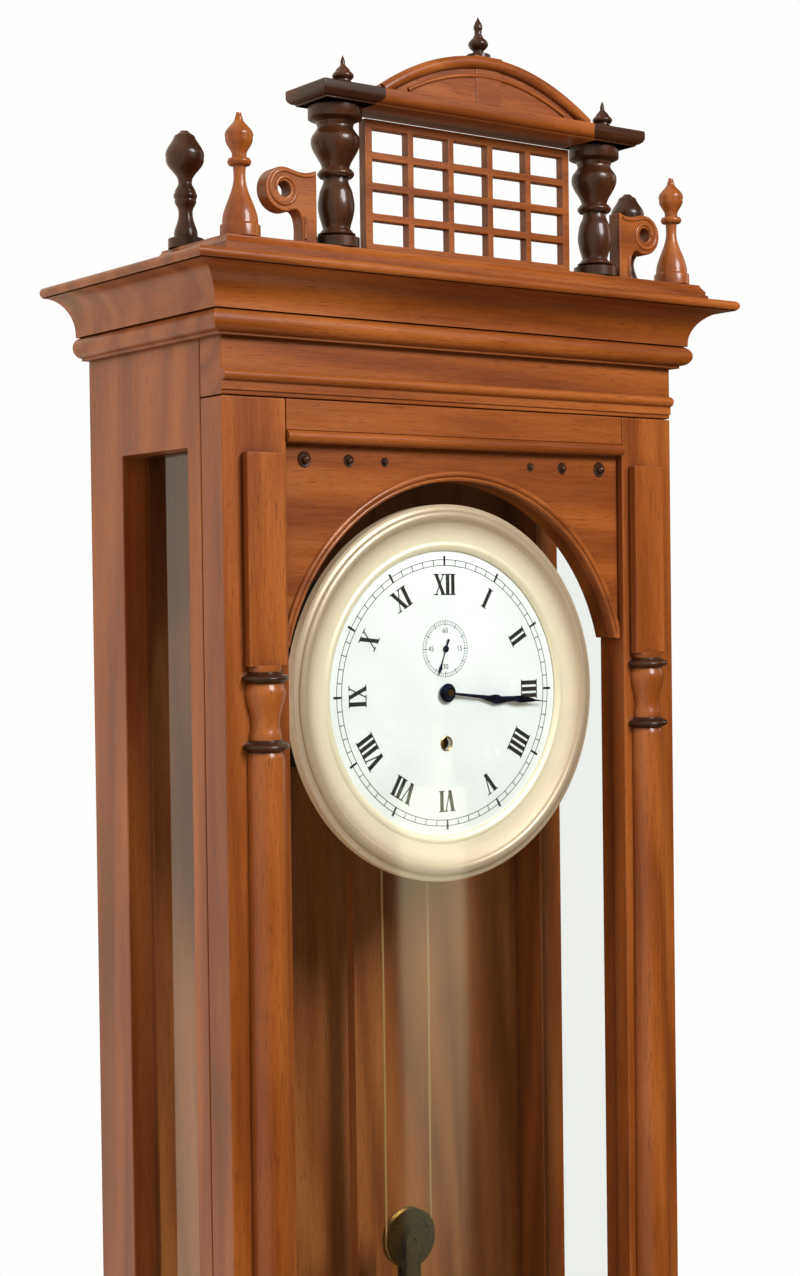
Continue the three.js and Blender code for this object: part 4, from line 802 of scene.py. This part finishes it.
def pediment():
    """The moulded eave, the arched gable with its border, a block for the finial and two turned caps."""
    box = Span("pediment")
    eave_height = 0.009
    lip = 0.004
    setback = 0.002
    depth = 0.024
    gable_inset = 0.039
    border = 0.007
    block_half = 0.009
    shade_end_start = 0.076
    cap_radius = 0.008
    cap_height = 0.018
    sink = lip / 2
    eave_top = box.z0 + eave_height
    rise = Span("top_finial").z0 - seat_gap * 2 - eave_top
    half = box.x1 - gable_inset
    front = box.y0 + setback
    back = front + depth
    middle = (front + back) / 2
    skirt = trim_edge / 2
    edge = arc((-lip, eave_top - lip), lip, 270, 360, element_steps)
    edge += arc((-sink / 2, eave_top - sink / 2), sink / 2, 0, 90, element_steps)
    steps = [(box.z0, lip)] + [(z, -inset) for inset, z in edge]
    eave = moulded_slab(box.x0 + skirt, box.x1 - skirt, box.y0 + skirt, box.y1 - skirt, steps)
    # The eave's ends are dark stained wood: partly an ebonised return, partly painted shade on the ends.
    end = moulded_slab(shade_end_start, box.x1, box.y0, box.y1, steps)
    piece("pediment_eave", [eave], case_wood["X"], "pediment", trim_edge)
    piece("pediment_eave_ends", [end, sided(end, -1)], dark_wood["X"], "pediment", trim_edge)

    face = front + border / 2
    gable = prism(flat_arch(half, rise + sink, eave_top - sink), face, back)
    outer = flat_arch(half - border / 2, rise - border / 2, eave_top)
    inner = flat_arch(half - border * 3, rise - border * 1.9, eave_top + border / 3)
    beads = [bead_along(outer, border / 2, face), bead_along(inner, border / 6, face)]
    piece("pediment_gable", [gable], case_wood["X"], "pediment", board_edge)
    piece("pediment_beads", beads, case_wood["X"], "pediment")

    neck_top = eave_top + rise - border / 2
    seat = moulded_slab(-block_half, block_half, middle - block_half, middle + block_half, [
        (eave_top, 0), (neck_top, 0), (neck_top, -border / 8), (eave_top + rise + seat_gap, -border / 8)])
    piece("pediment_block", [seat], case_wood["X"], "pediment", trim_edge)
    profile = turning(cap_shares, cap_radius, cap_height + sink, eave_top - sink)
    caps = [turned(profile, (side * Span("crest_post_right").x, middle, 0), "Z") for _, side in sides]
    piece("pediment_caps", caps, dark_wood["Z"], "pediment")


def crest_wings():
    """Two scroll wings: a narrow foot beside the post, a volute hung from the top, and carved lines."""
    box = Span("crest_wing_right")
    foot_width = 0.010
    volute = 0.012
    eye = 0.004
    carving = 0.0011
    coil_steps = 60
    foot = box.x0 + foot_width
    centre = (box.x1 - volute, box.z1 - volute)
    round_edge = arc(centre, volute, -115, 90, arc_steps * 3)
    hollow = curve_between((foot, box.z0), (foot - volute * 0.12, box.z0 + volute * 0.8),
                           (foot, centre[1] - volute * 0.68), round_edge[0])
    top = curve_between(round_edge[-1], (centre[0] - volute * 0.5, box.z1), (foot, box.z1 - volute * 0.36),
                        (box.x0, box.z1))
    outline = [(box.x0, box.z0), (foot, box.z0), *hollow, *round_edge[1:], *top]
    front = box.y0 + carving
    inset = carving * 1.8
    reach = volute - inset
    upper = [(x, z - inset) for x, z in reversed(top[:-2])]
    upper += arc(centre, reach, 90, -360, coil_steps, reach * 0.54)
    lower = [(x - inset, z + inset / 2) for x, z in hollow[:arc_steps]]
    beads = []
    for path in (upper, lower):
        points, faces = bead_along(path, carving, front + carving / 4)
        beads += [(points, faces), ([(x, box.y * 2 - y, z) for x, y, z in points], faces)]
    for name, side in sides:
        node = f"crest_wing_{name}"
        plain = sided(prism(outline, front, box.y1 - carving), side)
        wing = piece(f"wing_{name}", [plain], case_wood["X"], node)
        cut_away(wing, rod(eye, box.y0 - carving, box.y1 + carving, (side * centre[0], 0, centre[1])))
        soften(wing, board_edge)
        piece(f"wing_carving_{name}", [sided(bead, side) for bead in beads], case_wood["X"], node)


# Door
def door_top_rail():
    """An arched rail: a sunk ground, a band and bead above, and a moulding round the arch."""
    band_height = 0.017
    bead_height = 0.007
    moulding = 0.006
    radius = Span("door_stile_right").x0
    ground = body_front + door_recess
    seat = ground + trim_edge
    band_bottom = rail.z1 - band_height
    turn = math.degrees(math.asin(rail.z0 / radius))
    arch = arc((0, 0), radius, 180 - turn, turn, arch_steps)
    outline = [(rail.x0, rail.z0), *arch, (rail.x1, rail.z0), (rail.x1, rail.z1), (rail.x0, rail.z1)]
    band = block(rail.x0, rail.x1, body_front, seat, band_bottom, rail.z1)
    bead = bead_height / 2
    section = arc((rail.y0 + bead, band_bottom - bead), bead, 270, 90)
    section += [(seat, band_bottom), (seat, band_bottom - bead_height)]
    start = math.degrees(math.asin(rail.z0 / (radius + moulding)))
    outer = arc((0, 0), radius + moulding * 0.7, 180 - start, start, arch_steps)
    inner = arc((0, 0), radius + moulding * 0.22, 180 - turn, turn, arch_steps)
    limit = rail.x1 - trim_edge
    outer = [(max(-limit, min(limit, x)), z) for x, z in outer]
    archivolt = [bead_along(outer, moulding * 0.3, ground), bead_along(inner, moulding * 0.2, ground)]
    for name, skins, edge in (("top_rail_ground", [prism(outline, ground, rail.y1)], trim_edge),
                              ("top_rail_band", [band], trim_edge),
                              ("top_rail_bead", [bar_along_x(section, rail)], 0),
                              ("archivolt", archivolt, 0)):
        piece(f"door_{name}", skins, case_wood["X"], "door_top_rail", edge)


def spandrel_bosses():
    """Three turned bosses in each corner over the arch, smaller towards the middle."""
    height = 0.1335
    places = ((0.109, 0.0046), (0.079, 0.0036), (0.054, 0.0027))
    shares = [(0, 0.1), (0.98, 0.1), (1, 0), (0.86, -0.2), (0.6, -0.16), (0.56, -0.34)]
    shares += [(r, -d) for r, d in arc((0, 0.34), 0.5, 0, 90, element_steps)[:-1]] + [(0, -0.84)]
    bosses = []
    for _, side in sides:
        for x, radius in places:
            profile = [(r * radius, d * radius) for r, d in shares]
            bosses.append(turned(profile, (side * x, body_front + door_recess, height), steps=bore_steps))
    piece("spandrel_bosses", bosses, dark_wood["X"], body="door")


def bottom_panel():
    """A small moulding round the inside of the lower rail's sunk panel."""
    box = Span("door_bottom_rail")
    margin = 0.012
    recess = 0.003
    bead = recess / 2
    profile = [(0, 0), (0, -bead), (bead / 2, -bead * 1.1), (bead, -bead / 2), (bead, 0)]
    half_width = box.width / 2 - margin
    half_height = box.height / 2 - margin
    rings = [[(box.x + x_side * (half_width - inward), box.y0 + recess + out,
               box.z + z_side * (half_height - inward)) for inward, out in profile]
             for x_side, z_side in ((-1, -1), (1, -1), (1, 1), (-1, 1))]
    skin = loft(rings, closed=True)
    piece("bottom_panel_bead", [skin], case_wood["X"], edge=trim_edge / 2, body="door")


def door_columns():
    """A half column on each stile: shaft, capital between two dark-stained rings that are partly painted
    shade, and a flat pilaster above it.
    """
    plinth = 0.031
    capital_bottom = -0.023
    capital_top = 0.014
    capital = capital_top - capital_bottom
    shade_ring_shares = [(0.7, 0), (0.74, 0.1), (0.74, 0.8, 0.26), (0.7, 0.1)]
    for name, _ in sides:
        node = f"door_column_{name}"
        box = Span(node)
        ring = box.width / 2
        shaft = capital_bottom - ring / 2 - (box.z0 + plinth + ring)
        elements = [(1.0, 0), (1.0, plinth), (0.9, 0), (0.9, ring * 0.36, 0.1), (0.7, ring * 0.28),
                    (0.86, ring * 0.36), (0.78, shaft, 0.03), (0.66, ring * 0.5), (0.62, 0),
                    (0.62, capital / 4, 0.06), (0.84, capital / 2, -0.06), (0.66, capital / 4, 0.04),
                    (0.7, ring * 0.5)]
        profile = turning(elements, ring, 1, box.z0, poles=False)
        piece(f"column_{name}", [half_turned(profile, box.x, box.y1)], case_wood["Z"], node)
        # Dark-stained ring mouldings round the capital. Their darkness is partly painted shade in its
        # turnings.
        rings = []
        for z in (capital_bottom, capital_top):
            edge = turning(shade_ring_shares, ring, ring / 2, z - ring / 4, poles=False)
            rings.append(half_turned(edge, box.x, box.y1))
        piece(f"column_rings_{name}", rings, dark_wood["X"], node)
        half = ring * 12 / 14
        bottom = profile[-1][1] - board_edge
        pilaster = block(box.x - half, box.x + half, box.y1 - half / 2, box.y1, bottom, box.z1)
        piece(f"pilaster_{name}", [pilaster], case_wood["Z"], node, board_edge)


# Brass on the door
def screw_head(x, y, z, radius):
    """A slotted round head that faces +X; the slot is left between its two halves."""
    slot_half = radius * 0.13
    rise = radius * 0.35
    start = math.degrees(math.asin(slot_half / radius))
    edge = arc((0, 0), radius, start, 180 - start)
    halves = []
    for way in (-1, 1):
        low = [(x, y + u, z + way * v) for u, v in edge]
        high = [(x + rise, y + u * 0.8, z + way * (v * 0.8 + slot_half * 0.2)) for u, v in edge]
        halves.append(loft([low, high]))
    return halves


def hinges():
    """Leaves and knuckles, with three screws in each leaf."""
    leaf_thickness = 0.0018
    screw_inset = 0.0032
    screw_radius = 0.0019
    face = body_half + leaf_thickness
    for level in ("upper", "lower"):
        for leaf in ("case", "door"):
            node = f"hinge_{level}_{leaf}_leaf"
            dress(brass, metal_edge, node)
            box = Span(node)
            across = box.y1 - screw_inset if leaf == "case" else box.y0 + screw_inset
            heads = []
            for share in (0.14, 0.5, 0.86):
                heads += screw_head(face, across, box.z0 + box.height * share, screw_radius)
            piece(f"screws_{level}_{leaf}_leaf", heads, brass, body=leaf)


def latch():
    """The knob, its spindle and the cam behind the stile."""
    box = Span("door_latch")
    front = body_front - seat_gap
    radius = box.width / 2
    place = (box.x, front, box.z1 - radius)
    cam_half = 0.003
    cam_thickness = 0.002
    spindle_radius = 0.0025
    shares = [(0.75, 0), (0.75, 0.1), (0.5, 0.05), (0.4, 0.1), (0.4, 0.2, -0.04), (0.6, 0.06), (0.5, 0.02),
              (0.96, 0.2, 0.04), (0.62, 0.24, 0.12), (0.56, 0.0), (0.3, 0.03)]
    knob = [(r, -d) for r, d in turning(shares, radius, front - box.y0)]
    cam = arc((place[0], place[2]), cam_half, 0, 180) + arc((place[0], box.z0 + cam_half), cam_half, 180, 360)
    skins = [turned(knob, place), rod(spindle_radius, -radius / 4, box.y1 - front, place),
             prism(cam, box.y1 - cam_thickness, box.y1)]
    piece("latch_knob", skins, brass, "door_latch")


# Dial
winding_z = -0.030
seconds_z = 0.026
print_lift = 0.00006
print_thickness = 0.00012
numerals = ("XII", "I", "II", "III", "IIII", "V", "VI", "VII", "VIII", "IX", "X", "XI")
letter_widths = {"I": 0.0039, "V": 0.0080, "X": 0.0084}
numeral_height = 0.0125
numeral_middle = 0.0640
numeral_foot = numeral_middle - numeral_height / 2
stroke_half = 0.00125
hair_half = 0.0004
serif_overhang = 0.0008


def letter(kind, left):
    """The outlines of one upright numeral letter's strokes and serifs."""
    width = letter_widths[kind]
    middle = left + width / 2
    near = left + stroke_half * 1.4
    far = left + width - hair_half * 2.8
    head = numeral_foot + numeral_height
    serif = hair_half * 1.6
    heads = [(near, stroke_half * 1.6), (far, hair_half * 4)]
    if kind == "I":
        strokes = [(middle, middle, stroke_half)]
        heads = feet = [(middle, stroke_half + serif_overhang)]
    elif kind == "V":
        strokes = [(middle, near, stroke_half), (middle, far, hair_half)]
        feet = []
    else:
        strokes = [(far, near, stroke_half), (near, far, hair_half)]
        feet = [(far, stroke_half * 1.6), (near, hair_half * 4)]
    outlines = [quad(low, half, numeral_foot, high, half, head) for low, high, half in strokes]
    outlines += [quad(x, half, numeral_foot, x, half, numeral_foot + serif) for x, half in feet]
    return outlines + [quad(x, half, head - serif, x, half, head) for x, half in heads]


def on_dial(skin, angle, middle_z=0):
    """A skin turned clockwise, in degrees, about the middle of the dial or of the seconds ring."""
    points, faces = skin
    sine = math.sin(math.radians(angle))
    cosine = math.cos(math.radians(angle))
    return [(x * cosine + z * sine, y, middle_z - x * sine + z * cosine) for x, y, z in points], faces


def printed(outline, angle, level, middle_z=0):
    """A flat mark on the enamel; level keeps crossing marks apart."""
    front = dial_face - print_lift - level * print_thickness / 8
    back = dial_face + (print_thickness - print_lift) / 2
    return on_dial(prism(outline, front, back), angle, middle_z)


def track(inner, outer, width, half, bold_half, bold_inner, bold_outer, flare=1, middle_z=0):
    """Two printed rings with sixty strokes between them, every fifth one bold and longer."""
    front = dial_face - print_lift
    back = dial_face + print_thickness / 2
    skins = []
    for radius in (inner, outer):
        section = quad(radius, width / 2, front, radius, width / 2, back)
        skins.append(turned_ring(section, (0, 0, middle_z), arch_steps))
    for step in range(60):
        near, far, across = (inner, outer, half) if step % 5 else (bold_inner, bold_outer, bold_half)
        mark = quad(0, across, near, 0, across * flare, far)
        skins.append(printed(mark, step * 6, 1 + step % 2, middle_z))
    return skins


def dial_marks():
    """Radial Roman numerals, a closed minute track and the small seconds ring."""
    minutes_inner = 0.0752
    minutes_outer = 0.0786
    minutes_bold = 0.0022
    minutes_halves = (0.0002, 0.0006)
    seconds_inner = 0.0145
    seconds_outer = 0.0166
    seconds_bold = 0.001
    seconds_halves = (0.0001, 0.00022)
    ring = 0.0004
    skins = []
    for hour, word in enumerate(numerals):
        left = -sum(letter_widths[kind] for kind in word) / 2
        outlines = []
        for kind in word:
            outlines += letter(kind, left)
            left += letter_widths[kind]
        skins += [printed(outline, hour * 30, index % 7) for index, outline in enumerate(outlines)]
    skins += track(minutes_inner, minutes_outer, ring, *minutes_halves, minutes_inner,
                   minutes_outer + minutes_bold, 1.3)
    skins += track(seconds_inner, seconds_outer, ring / 2, *seconds_halves, seconds_inner - seconds_bold,
                   seconds_outer, middle_z=seconds_z)
    piece("dial_print", skins, ink, body="case")


def seconds_figures():
    """Small figures 60, 15, 30 and 45 inside the seconds ring."""
    size = 0.0042
    reach = 0.0106
    for text, angle in (("60", 0), ("15", 90), ("30", 180), ("45", 270)):
        turn = math.radians(angle)
        curve = bpy.data.curves.new(f"figure_{text}", "FONT")
        curve.body = text
        curve.size = size
        curve.align_x = "CENTER"
        curve.align_y = "CENTER"
        curve.extrude = print_lift / 2
        figure = add_object(f"seconds_figure_{text}", curve)
        figure.rotation_euler = (math.pi / 2, 0, 0)
        figure.location = (reach * math.sin(turn), dial_face - print_lift / 2,
                           seconds_z + reach * math.cos(turn))
        give(figure, ink, "case")


def enamel_dial():
    """The enamel disc with its three holes, its feet, and a brass collar in the winding hole."""
    box = Span("dial")
    thickness = 0.003
    roll = 0.0006
    foot_radius = 0.002
    foot_x = 0.03
    foot_z = 0.042
    centre_radius = 0.0046
    winding_radius = 0.0036
    seconds_radius = 0.0014
    holes = ((centre_radius, 0), (winding_radius, winding_z), (seconds_radius, seconds_z))
    lip = 0.0009
    radius = box.width / 2
    back = dial_face + thickness
    profile = [(0, dial_face), (radius - roll * 2, dial_face), (radius - roll, dial_face + roll / 3),
               (radius, dial_face + roll), (radius, back), (0, back)]
    disc = piece("enamel_disc", [turned(profile, (0, 0, 0), steps=arch_steps)], white_enamel, "dial")
    cut_away(disc, *(rod(hole, dial_face - roll, back + roll, (0, 0, z)) for hole, z in holes))
    feet = [rod(foot_radius, back - roll, box.y1, (x * foot_x, 0, z * foot_z), steps=turned_steps // 3)
            for x in (-1, 1) for z in (-1, 1)]
    piece("dial_feet", feet, brass, "dial")
    collar = [(winding_radius, dial_face - lip / 3), (winding_radius + lip / 2, dial_face - lip / 2),
              (winding_radius + lip, dial_face - lip / 4), (winding_radius + lip, dial_face - print_lift),
              (winding_radius, dial_face - print_lift)]
    piece("winding_collar", [turned_ring(collar, (0, 0, winding_z))], brass, body="case")


def bezel():
    """The wide spun bezel: a rolled lip, a hollow, a bead and a flat outer rim."""
    box = Span("bezel")
    overlap = 0.004
    lip = 0.0012
    seat = Span("dial").width / 2
    inner = seat - overlap
    width = box.width / 2 - inner
    face = dial_face - seat_gap
    rise = face - box.y0
    bead = width * 0.12
    hollow_shares = [(0.19 + 0.43 * share, 0.3 + 0.34 * share ** 2)
                     for share in (step / arc_steps for step in range(1, arc_steps + 1))]
    bead_shares = [(r / width, 0.66 + h * 0.34 / bead)
                   for r, h in arc((width * 0.75, 0), bead, 170, 10, arc_steps * 2)]
    shares = [(0.1, 0.42), (0.16, 0.4), (0.19, 0.3), *hollow_shares, *bead_shares, (0.9, 0.62), (0.97, 0.6),
              (1, 0.48)]
    profile = [(inner, face), (inner, face - lip * 0.6), (inner + width * 0.03, face - lip * 1.4)]
    profile += [(inner + width * out, face - rise * proud) for out, proud in shares]
    profile += [(inner + width, box.y1), (seat + seat_gap, box.y1), (seat + seat_gap, face)]
    piece("bezel_spun", [turned_ring(profile, (0, 0, 0), arch_steps * 2)], spun_bezel, "bezel")


def interpolate(stations, share):
    """The value between the two stations that share lies between."""
    for (a, low), (b, high) in zip(stations, stations[1:]):
        if share <= b:
            return low + (high - low) * eased(max(0, min(1, (share - a) / (b - a))))
    return stations[-1][1]


def hand(node, angle, length, hub, bore, tail_share=0, middle_z=0):
    """A blued leaf hand with a raised middle line and a turned boss."""
    blade_steps = 40
    box = Span(node)
    front = box.y0
    back = front + box.depth
    shoulder = front + box.depth * 0.45
    step_down = front + box.depth * 0.1
    waist = hub * 0.13
    stations = [(0, waist), (0.5, waist), (0.6, waist * 2.2), (0.74, waist * 4), (0.84, waist * 2.6),
                (0.9, waist), (0.995, waist * 0.3)]
    if tail_share:
        stations.insert(0, (-tail_share, waist * 3))
    rings = []
    for share, _ in line((stations[0][0], 0), (stations[-1][0], 0), blade_steps):
        half = interpolate(stations, share)
        section = [(-half, back), (half, back), (half, shoulder), (0, front), (-half, shoulder)]
        rings.append([(x, y, share * length) for x, y in section])
    boss = [(bore, back), (hub, back), (hub, shoulder), (hub * 0.93, step_down), (hub * 0.72, step_down),
            (hub * 0.66, front), (bore, front)]
    skins = [on_dial(skin, angle, middle_z) for skin in (loft(rings), turned_ring(boss, (0, 0, 0)))]
    piece(f"{node}_blued", skins, blued, node)


# Hands: angles clockwise from twelve
minute_angle = 96
hour_angle = 98
seconds_angle = 200
minute_length = 0.074
hour_length = minute_length * 0.68
seconds_length = 0.017
minute_hub = 0.004
minute_bore = 0.00215
hour_hub = 0.0056
hour_bore = 0.00345
seconds_hub = 0.002
seconds_bore = 0.00075
seconds_tail_share = 0.35


def hands():
    hand("minute_hand", minute_angle, minute_length, minute_hub, minute_bore)
    hand("hour_hand", hour_angle, hour_length, hour_hub, hour_bore)
    hand("seconds_hand", seconds_angle, seconds_length, seconds_hub, seconds_bore, seconds_tail_share,
         seconds_z)


# Pendulum
def pendulum_bob():
    """A domed brass bob with a rim, cut for the rod."""
    rim = 0.0015
    edge_share = 0.965
    dome_steps = 36
    rim_steps = 6
    radius = bob.width / 2
    half = bob.depth / 2
    face = half - rim
    dome = face / 2 + radius ** 2 / (2 * face)
    front = [(r, half - dome + math.sqrt(dome ** 2 - r ** 2))
             for r, _ in line((0, 0), (radius * edge_share, 0), dome_steps)]
    groove = radius * (1 - edge_share) / 2
    last = front[-1][1]
    rounded = arc((radius - groove, 0), groove, 90, 0, rim_steps)
    front += [(r, last - groove / 2 + h * 0.9) for r, h in rounded]
    profile = [(r, -h) for r, h in front] + front[::-1]
    skin = turned(profile, (bob.x, bob.y, bob.z), steps=arch_steps)
    body = piece("bob_brass", [skin], spun_bob, "pendulum_bob")
    stick = Span("pendulum_rod")
    cut_away(body, block(stick.x0 - seat_gap, stick.x1 + seat_gap, stick.y0 - seat_gap, stick.y1 + seat_gap,
                         bob.z0 - seat_gap, bob.z1 + seat_gap))


def rating_nut():
    """A knurled brass nut, bored for the screw."""
    nut = Span("rating_nut")
    teeth = 48
    tooth = 0.00035
    bore = 0.00215
    bevel = nut.height * 0.14
    rings = []
    for z, inset in ((nut.z0, tooth * 3), (nut.z0 + bevel, 0), (nut.z1 - bevel, 0), (nut.z1, tooth * 3)):
        reaches = [nut.width / 2 - inset - tooth * (step % 2) for step in range(teeth * 2)]
        rings.append([around((nut.x, nut.y, z), "Z", math.pi * step / teeth, reach, 0)
                      for step, reach in enumerate(reaches)])
    knurled = piece("rating_nut_knurled", [loft(rings)], brass, "rating_nut")
    cut_away(knurled, rod(bore, nut.z0 - seat_gap, nut.z1 + seat_gap, (nut.x, nut.y, 0), "Z"))


# Weight and line
def weight():
    """The turned brass weight, the stirrup with its round ends and the axle."""
    box = Span("weight")
    drop = 0.030
    length = 0.140
    cheek_gap = 0.0005
    thick = 0.002
    half = 0.005
    axle = 0.002
    shares = [(0.86, 0), (0.97, 0.02), (1.0, 0.02), (1.0, 0.04), (0.97, 0.006), (1.0, 0.006), (1.0, 0.83),
              (0.97, 0.006), (1.0, 0.006), (1.0, 0.03), (0.94, 0.03), (0.88, 0.006), (0.3, 0.02, 0.1),
              (0.26, 0.01)]
    radius = box.width / 2
    top = wheel.z - drop
    height = (length + radius * 0.12) / sum(share[1] for share in shares)
    body = turned(turning(shares, radius, height, top - length), (box.x, box.y, 0), "Z")
    piece("weight_brass", [body], spun_weight, "weight", metal_edge)

    gap = wheel.depth / 2 + cheek_gap
    reach = gap + thick
    foot = top - thick
    strap = [(-half, foot), (half, foot)] + arc((0, wheel.z), half, 0, 180)
    skins = [prism(strap, box.y - reach, box.y - gap), prism(strap, box.y + gap, box.y + reach)]
    skins.append(block(-half, half, box.y - gap - thick / 2, box.y + gap + thick / 2, foot, top + thick * 2))
    pin = [(0, -reach), (axle * 0.8, -reach), (axle, -reach + axle / 4)]
    pin += [(r, -d) for r, d in reversed(pin)]
    skins.append(turned(pin, (0, box.y, wheel.z), steps=bore_steps))
    piece("weight_stirrup", skins, aged_brass, "weight", metal_edge)


def pulley():
    """A turned pulley: rim and groove, thin web and hub."""
    radius = wheel.width / 2
    half = wheel.depth / 2
    lip = half * 0.7
    groove = 0.0156
    wall = 0.0022
    bore = 0.00215
    hub = bore * 2.4
    web = half * 0.35
    rim = groove - wall
    side = [(bore, -half), (hub, -half), (hub * 1.1, -web), (rim, -web), (rim + web, -half), (radius, -half),
            (radius, -lip)]
    curve = [(radius - (radius - groove) * math.cos(math.pi / 2 * share), lip * share)
             for share in (step / arc_steps for step in range(1 - arc_steps, arc_steps))]
    profile = side + curve + [(r, -d) for r, d in reversed(side)]
    piece("pulley_turned", [turned_ring(profile, (wheel.x, wheel.y, wheel.z))], aged_brass, "pulley")


def weight_line():
    """The gut line: down from the drum, round the pulley and up to the bar in the movement."""
    box = Span("weight_line")
    radius = 0.0007
    wrap_radius = 0.0169
    end = (0.0175, -0.0673)
    steps = 48
    corners = 10
    left = (wheel.x - wrap_radius, wheel.z)
    right = (wheel.x + wrap_radius, wheel.z)
    path = line((box.x0 + radius, winding_z), left, steps)[:-1]
    path += arc((wheel.x, wheel.z), wrap_radius, 180, 360, arc_steps * 3)
    path += line(right, end, steps)[1:]
    mesh = skin_mesh("gut_line", [swept(path, arc((0, 0), radius, 360, 0, corners)[:-1], box.y)])
    mesh.shade_smooth()
    mesh.materials.append(gut_line[0])
    thing = add_object("gut_line", mesh)
    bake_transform(thing)
    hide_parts("weight_line")


# Stage and light
floor_drop = 0.8
floor_half = 1.2
lamp_target = (0, -0.07, -0.05)
key_place = (0.35, -1.7, 1.05)
key_size = 0.8
key_power = 46
key_colour = (0.98, 0.99, 1)
fill_place = (2.4, -0.4, 0.9)
fill_size = 1.2
fill_power = 5
fill_colour = (1, 0.97, 0.93)
strip_place = (1.79, -2.5, -0.98)
strip_target = (0, 0, strip_place[2])
strip_width = 0.13
strip_height = 1.3
strip_power = 0.1
strip_colour = (0.95, 1, 0.66)
strip_spread = math.radians(41.6)
backdrop_colour = paint(255, 255, 254)
bright_room = paint(255, 241, 220)
dim_room = paint(76, 66, 52)
room_strength = 1.2
dim_side = (0.9, -0.42, -0.1)


def softbox(name, place, target, size, power, colour, height=0, spread=math.pi):
    """A round soft light, or an upright strip where a height is given."""
    data = bpy.data.lights.new(name, "AREA")
    data.shape = "RECTANGLE" if height else "DISK"
    data.size = size
    if height:
        data.size_y = height
    data.energy = power
    data.spread = spread
    data.color = colour
    lamp = add_object(name, data)
    lamp.location = place
    lamp.rotation_euler = (Vector(target) - Vector(place)).to_track_quat("-Z", "Y").to_euler()


def room():
    """Bright walls behind and at the left, and a dimmer room in front; the backdrop itself is plain."""
    world = bpy.data.worlds.new("room")
    world.use_nodes = True
    bpy.context.scene.world = world
    tree = world.node_tree
    towards = dot_product(tree, add_node(tree, "TexCoord", output="Generated"), dim_side)
    share = add_node(tree, "MapRange", towards, -0.5, 0.4, settings={"interpolation_type": "SMOOTHSTEP"})
    background = tree.nodes["Background"]
    feed(tree, background, Color=blend_colours(tree, share, bright_room, dim_room), Strength=room_strength)
    plain = add_node(tree, "Background", Color=backdrop_colour, Strength=1)
    seen = add_node(tree, "LightPath", output="Is Camera Ray")
    choice = add_node(tree, "MixShader", seen, background.outputs[0], plain)
    feed(tree, tree.nodes["World Output"], Surface=choice)


def stage():
    lowest = cad_box[0][2] - floor_drop
    mesh = bpy.data.meshes.new("floor")
    corners = [(x * floor_half, y * floor_half, lowest) for x, y in ((-1, -1), (1, -1), (1, 1), (-1, 1))]
    mesh.from_pydata(corners, [], [(0, 1, 2, 3)])
    material, tree, shader, _ = new_material("floor")
    feed(tree, shader, Base_Color=paint(228, 226, 222), Roughness=0.7)
    mesh.materials.append(material)
    add_object("floor", mesh)
    softbox("key", key_place, lamp_target, key_size, key_power, key_colour)
    softbox("fill", fill_place, lamp_target, fill_size, fill_power, fill_colour)
    softbox("strip", strip_place, strip_target, strip_width, strip_power, strip_colour, strip_height,
            strip_spread)
    room()
    bpy.context.scene.view_settings.view_transform = "Standard"
    bpy.context.scene.view_settings.look = "None"


dress_nodes()
frieze()
cornice()
base()
bottom_drop()
turned_pieces()
crest_base()
pediment()
crest_wings()
door_top_rail()
spandrel_bosses()
bottom_panel()
door_columns()
hinges()
latch()
enamel_dial()
dial_marks()
seconds_figures()
bezel()
hands()
pendulum_bob()
rating_nut()
weight()
pulley()
weight_line()
stage()
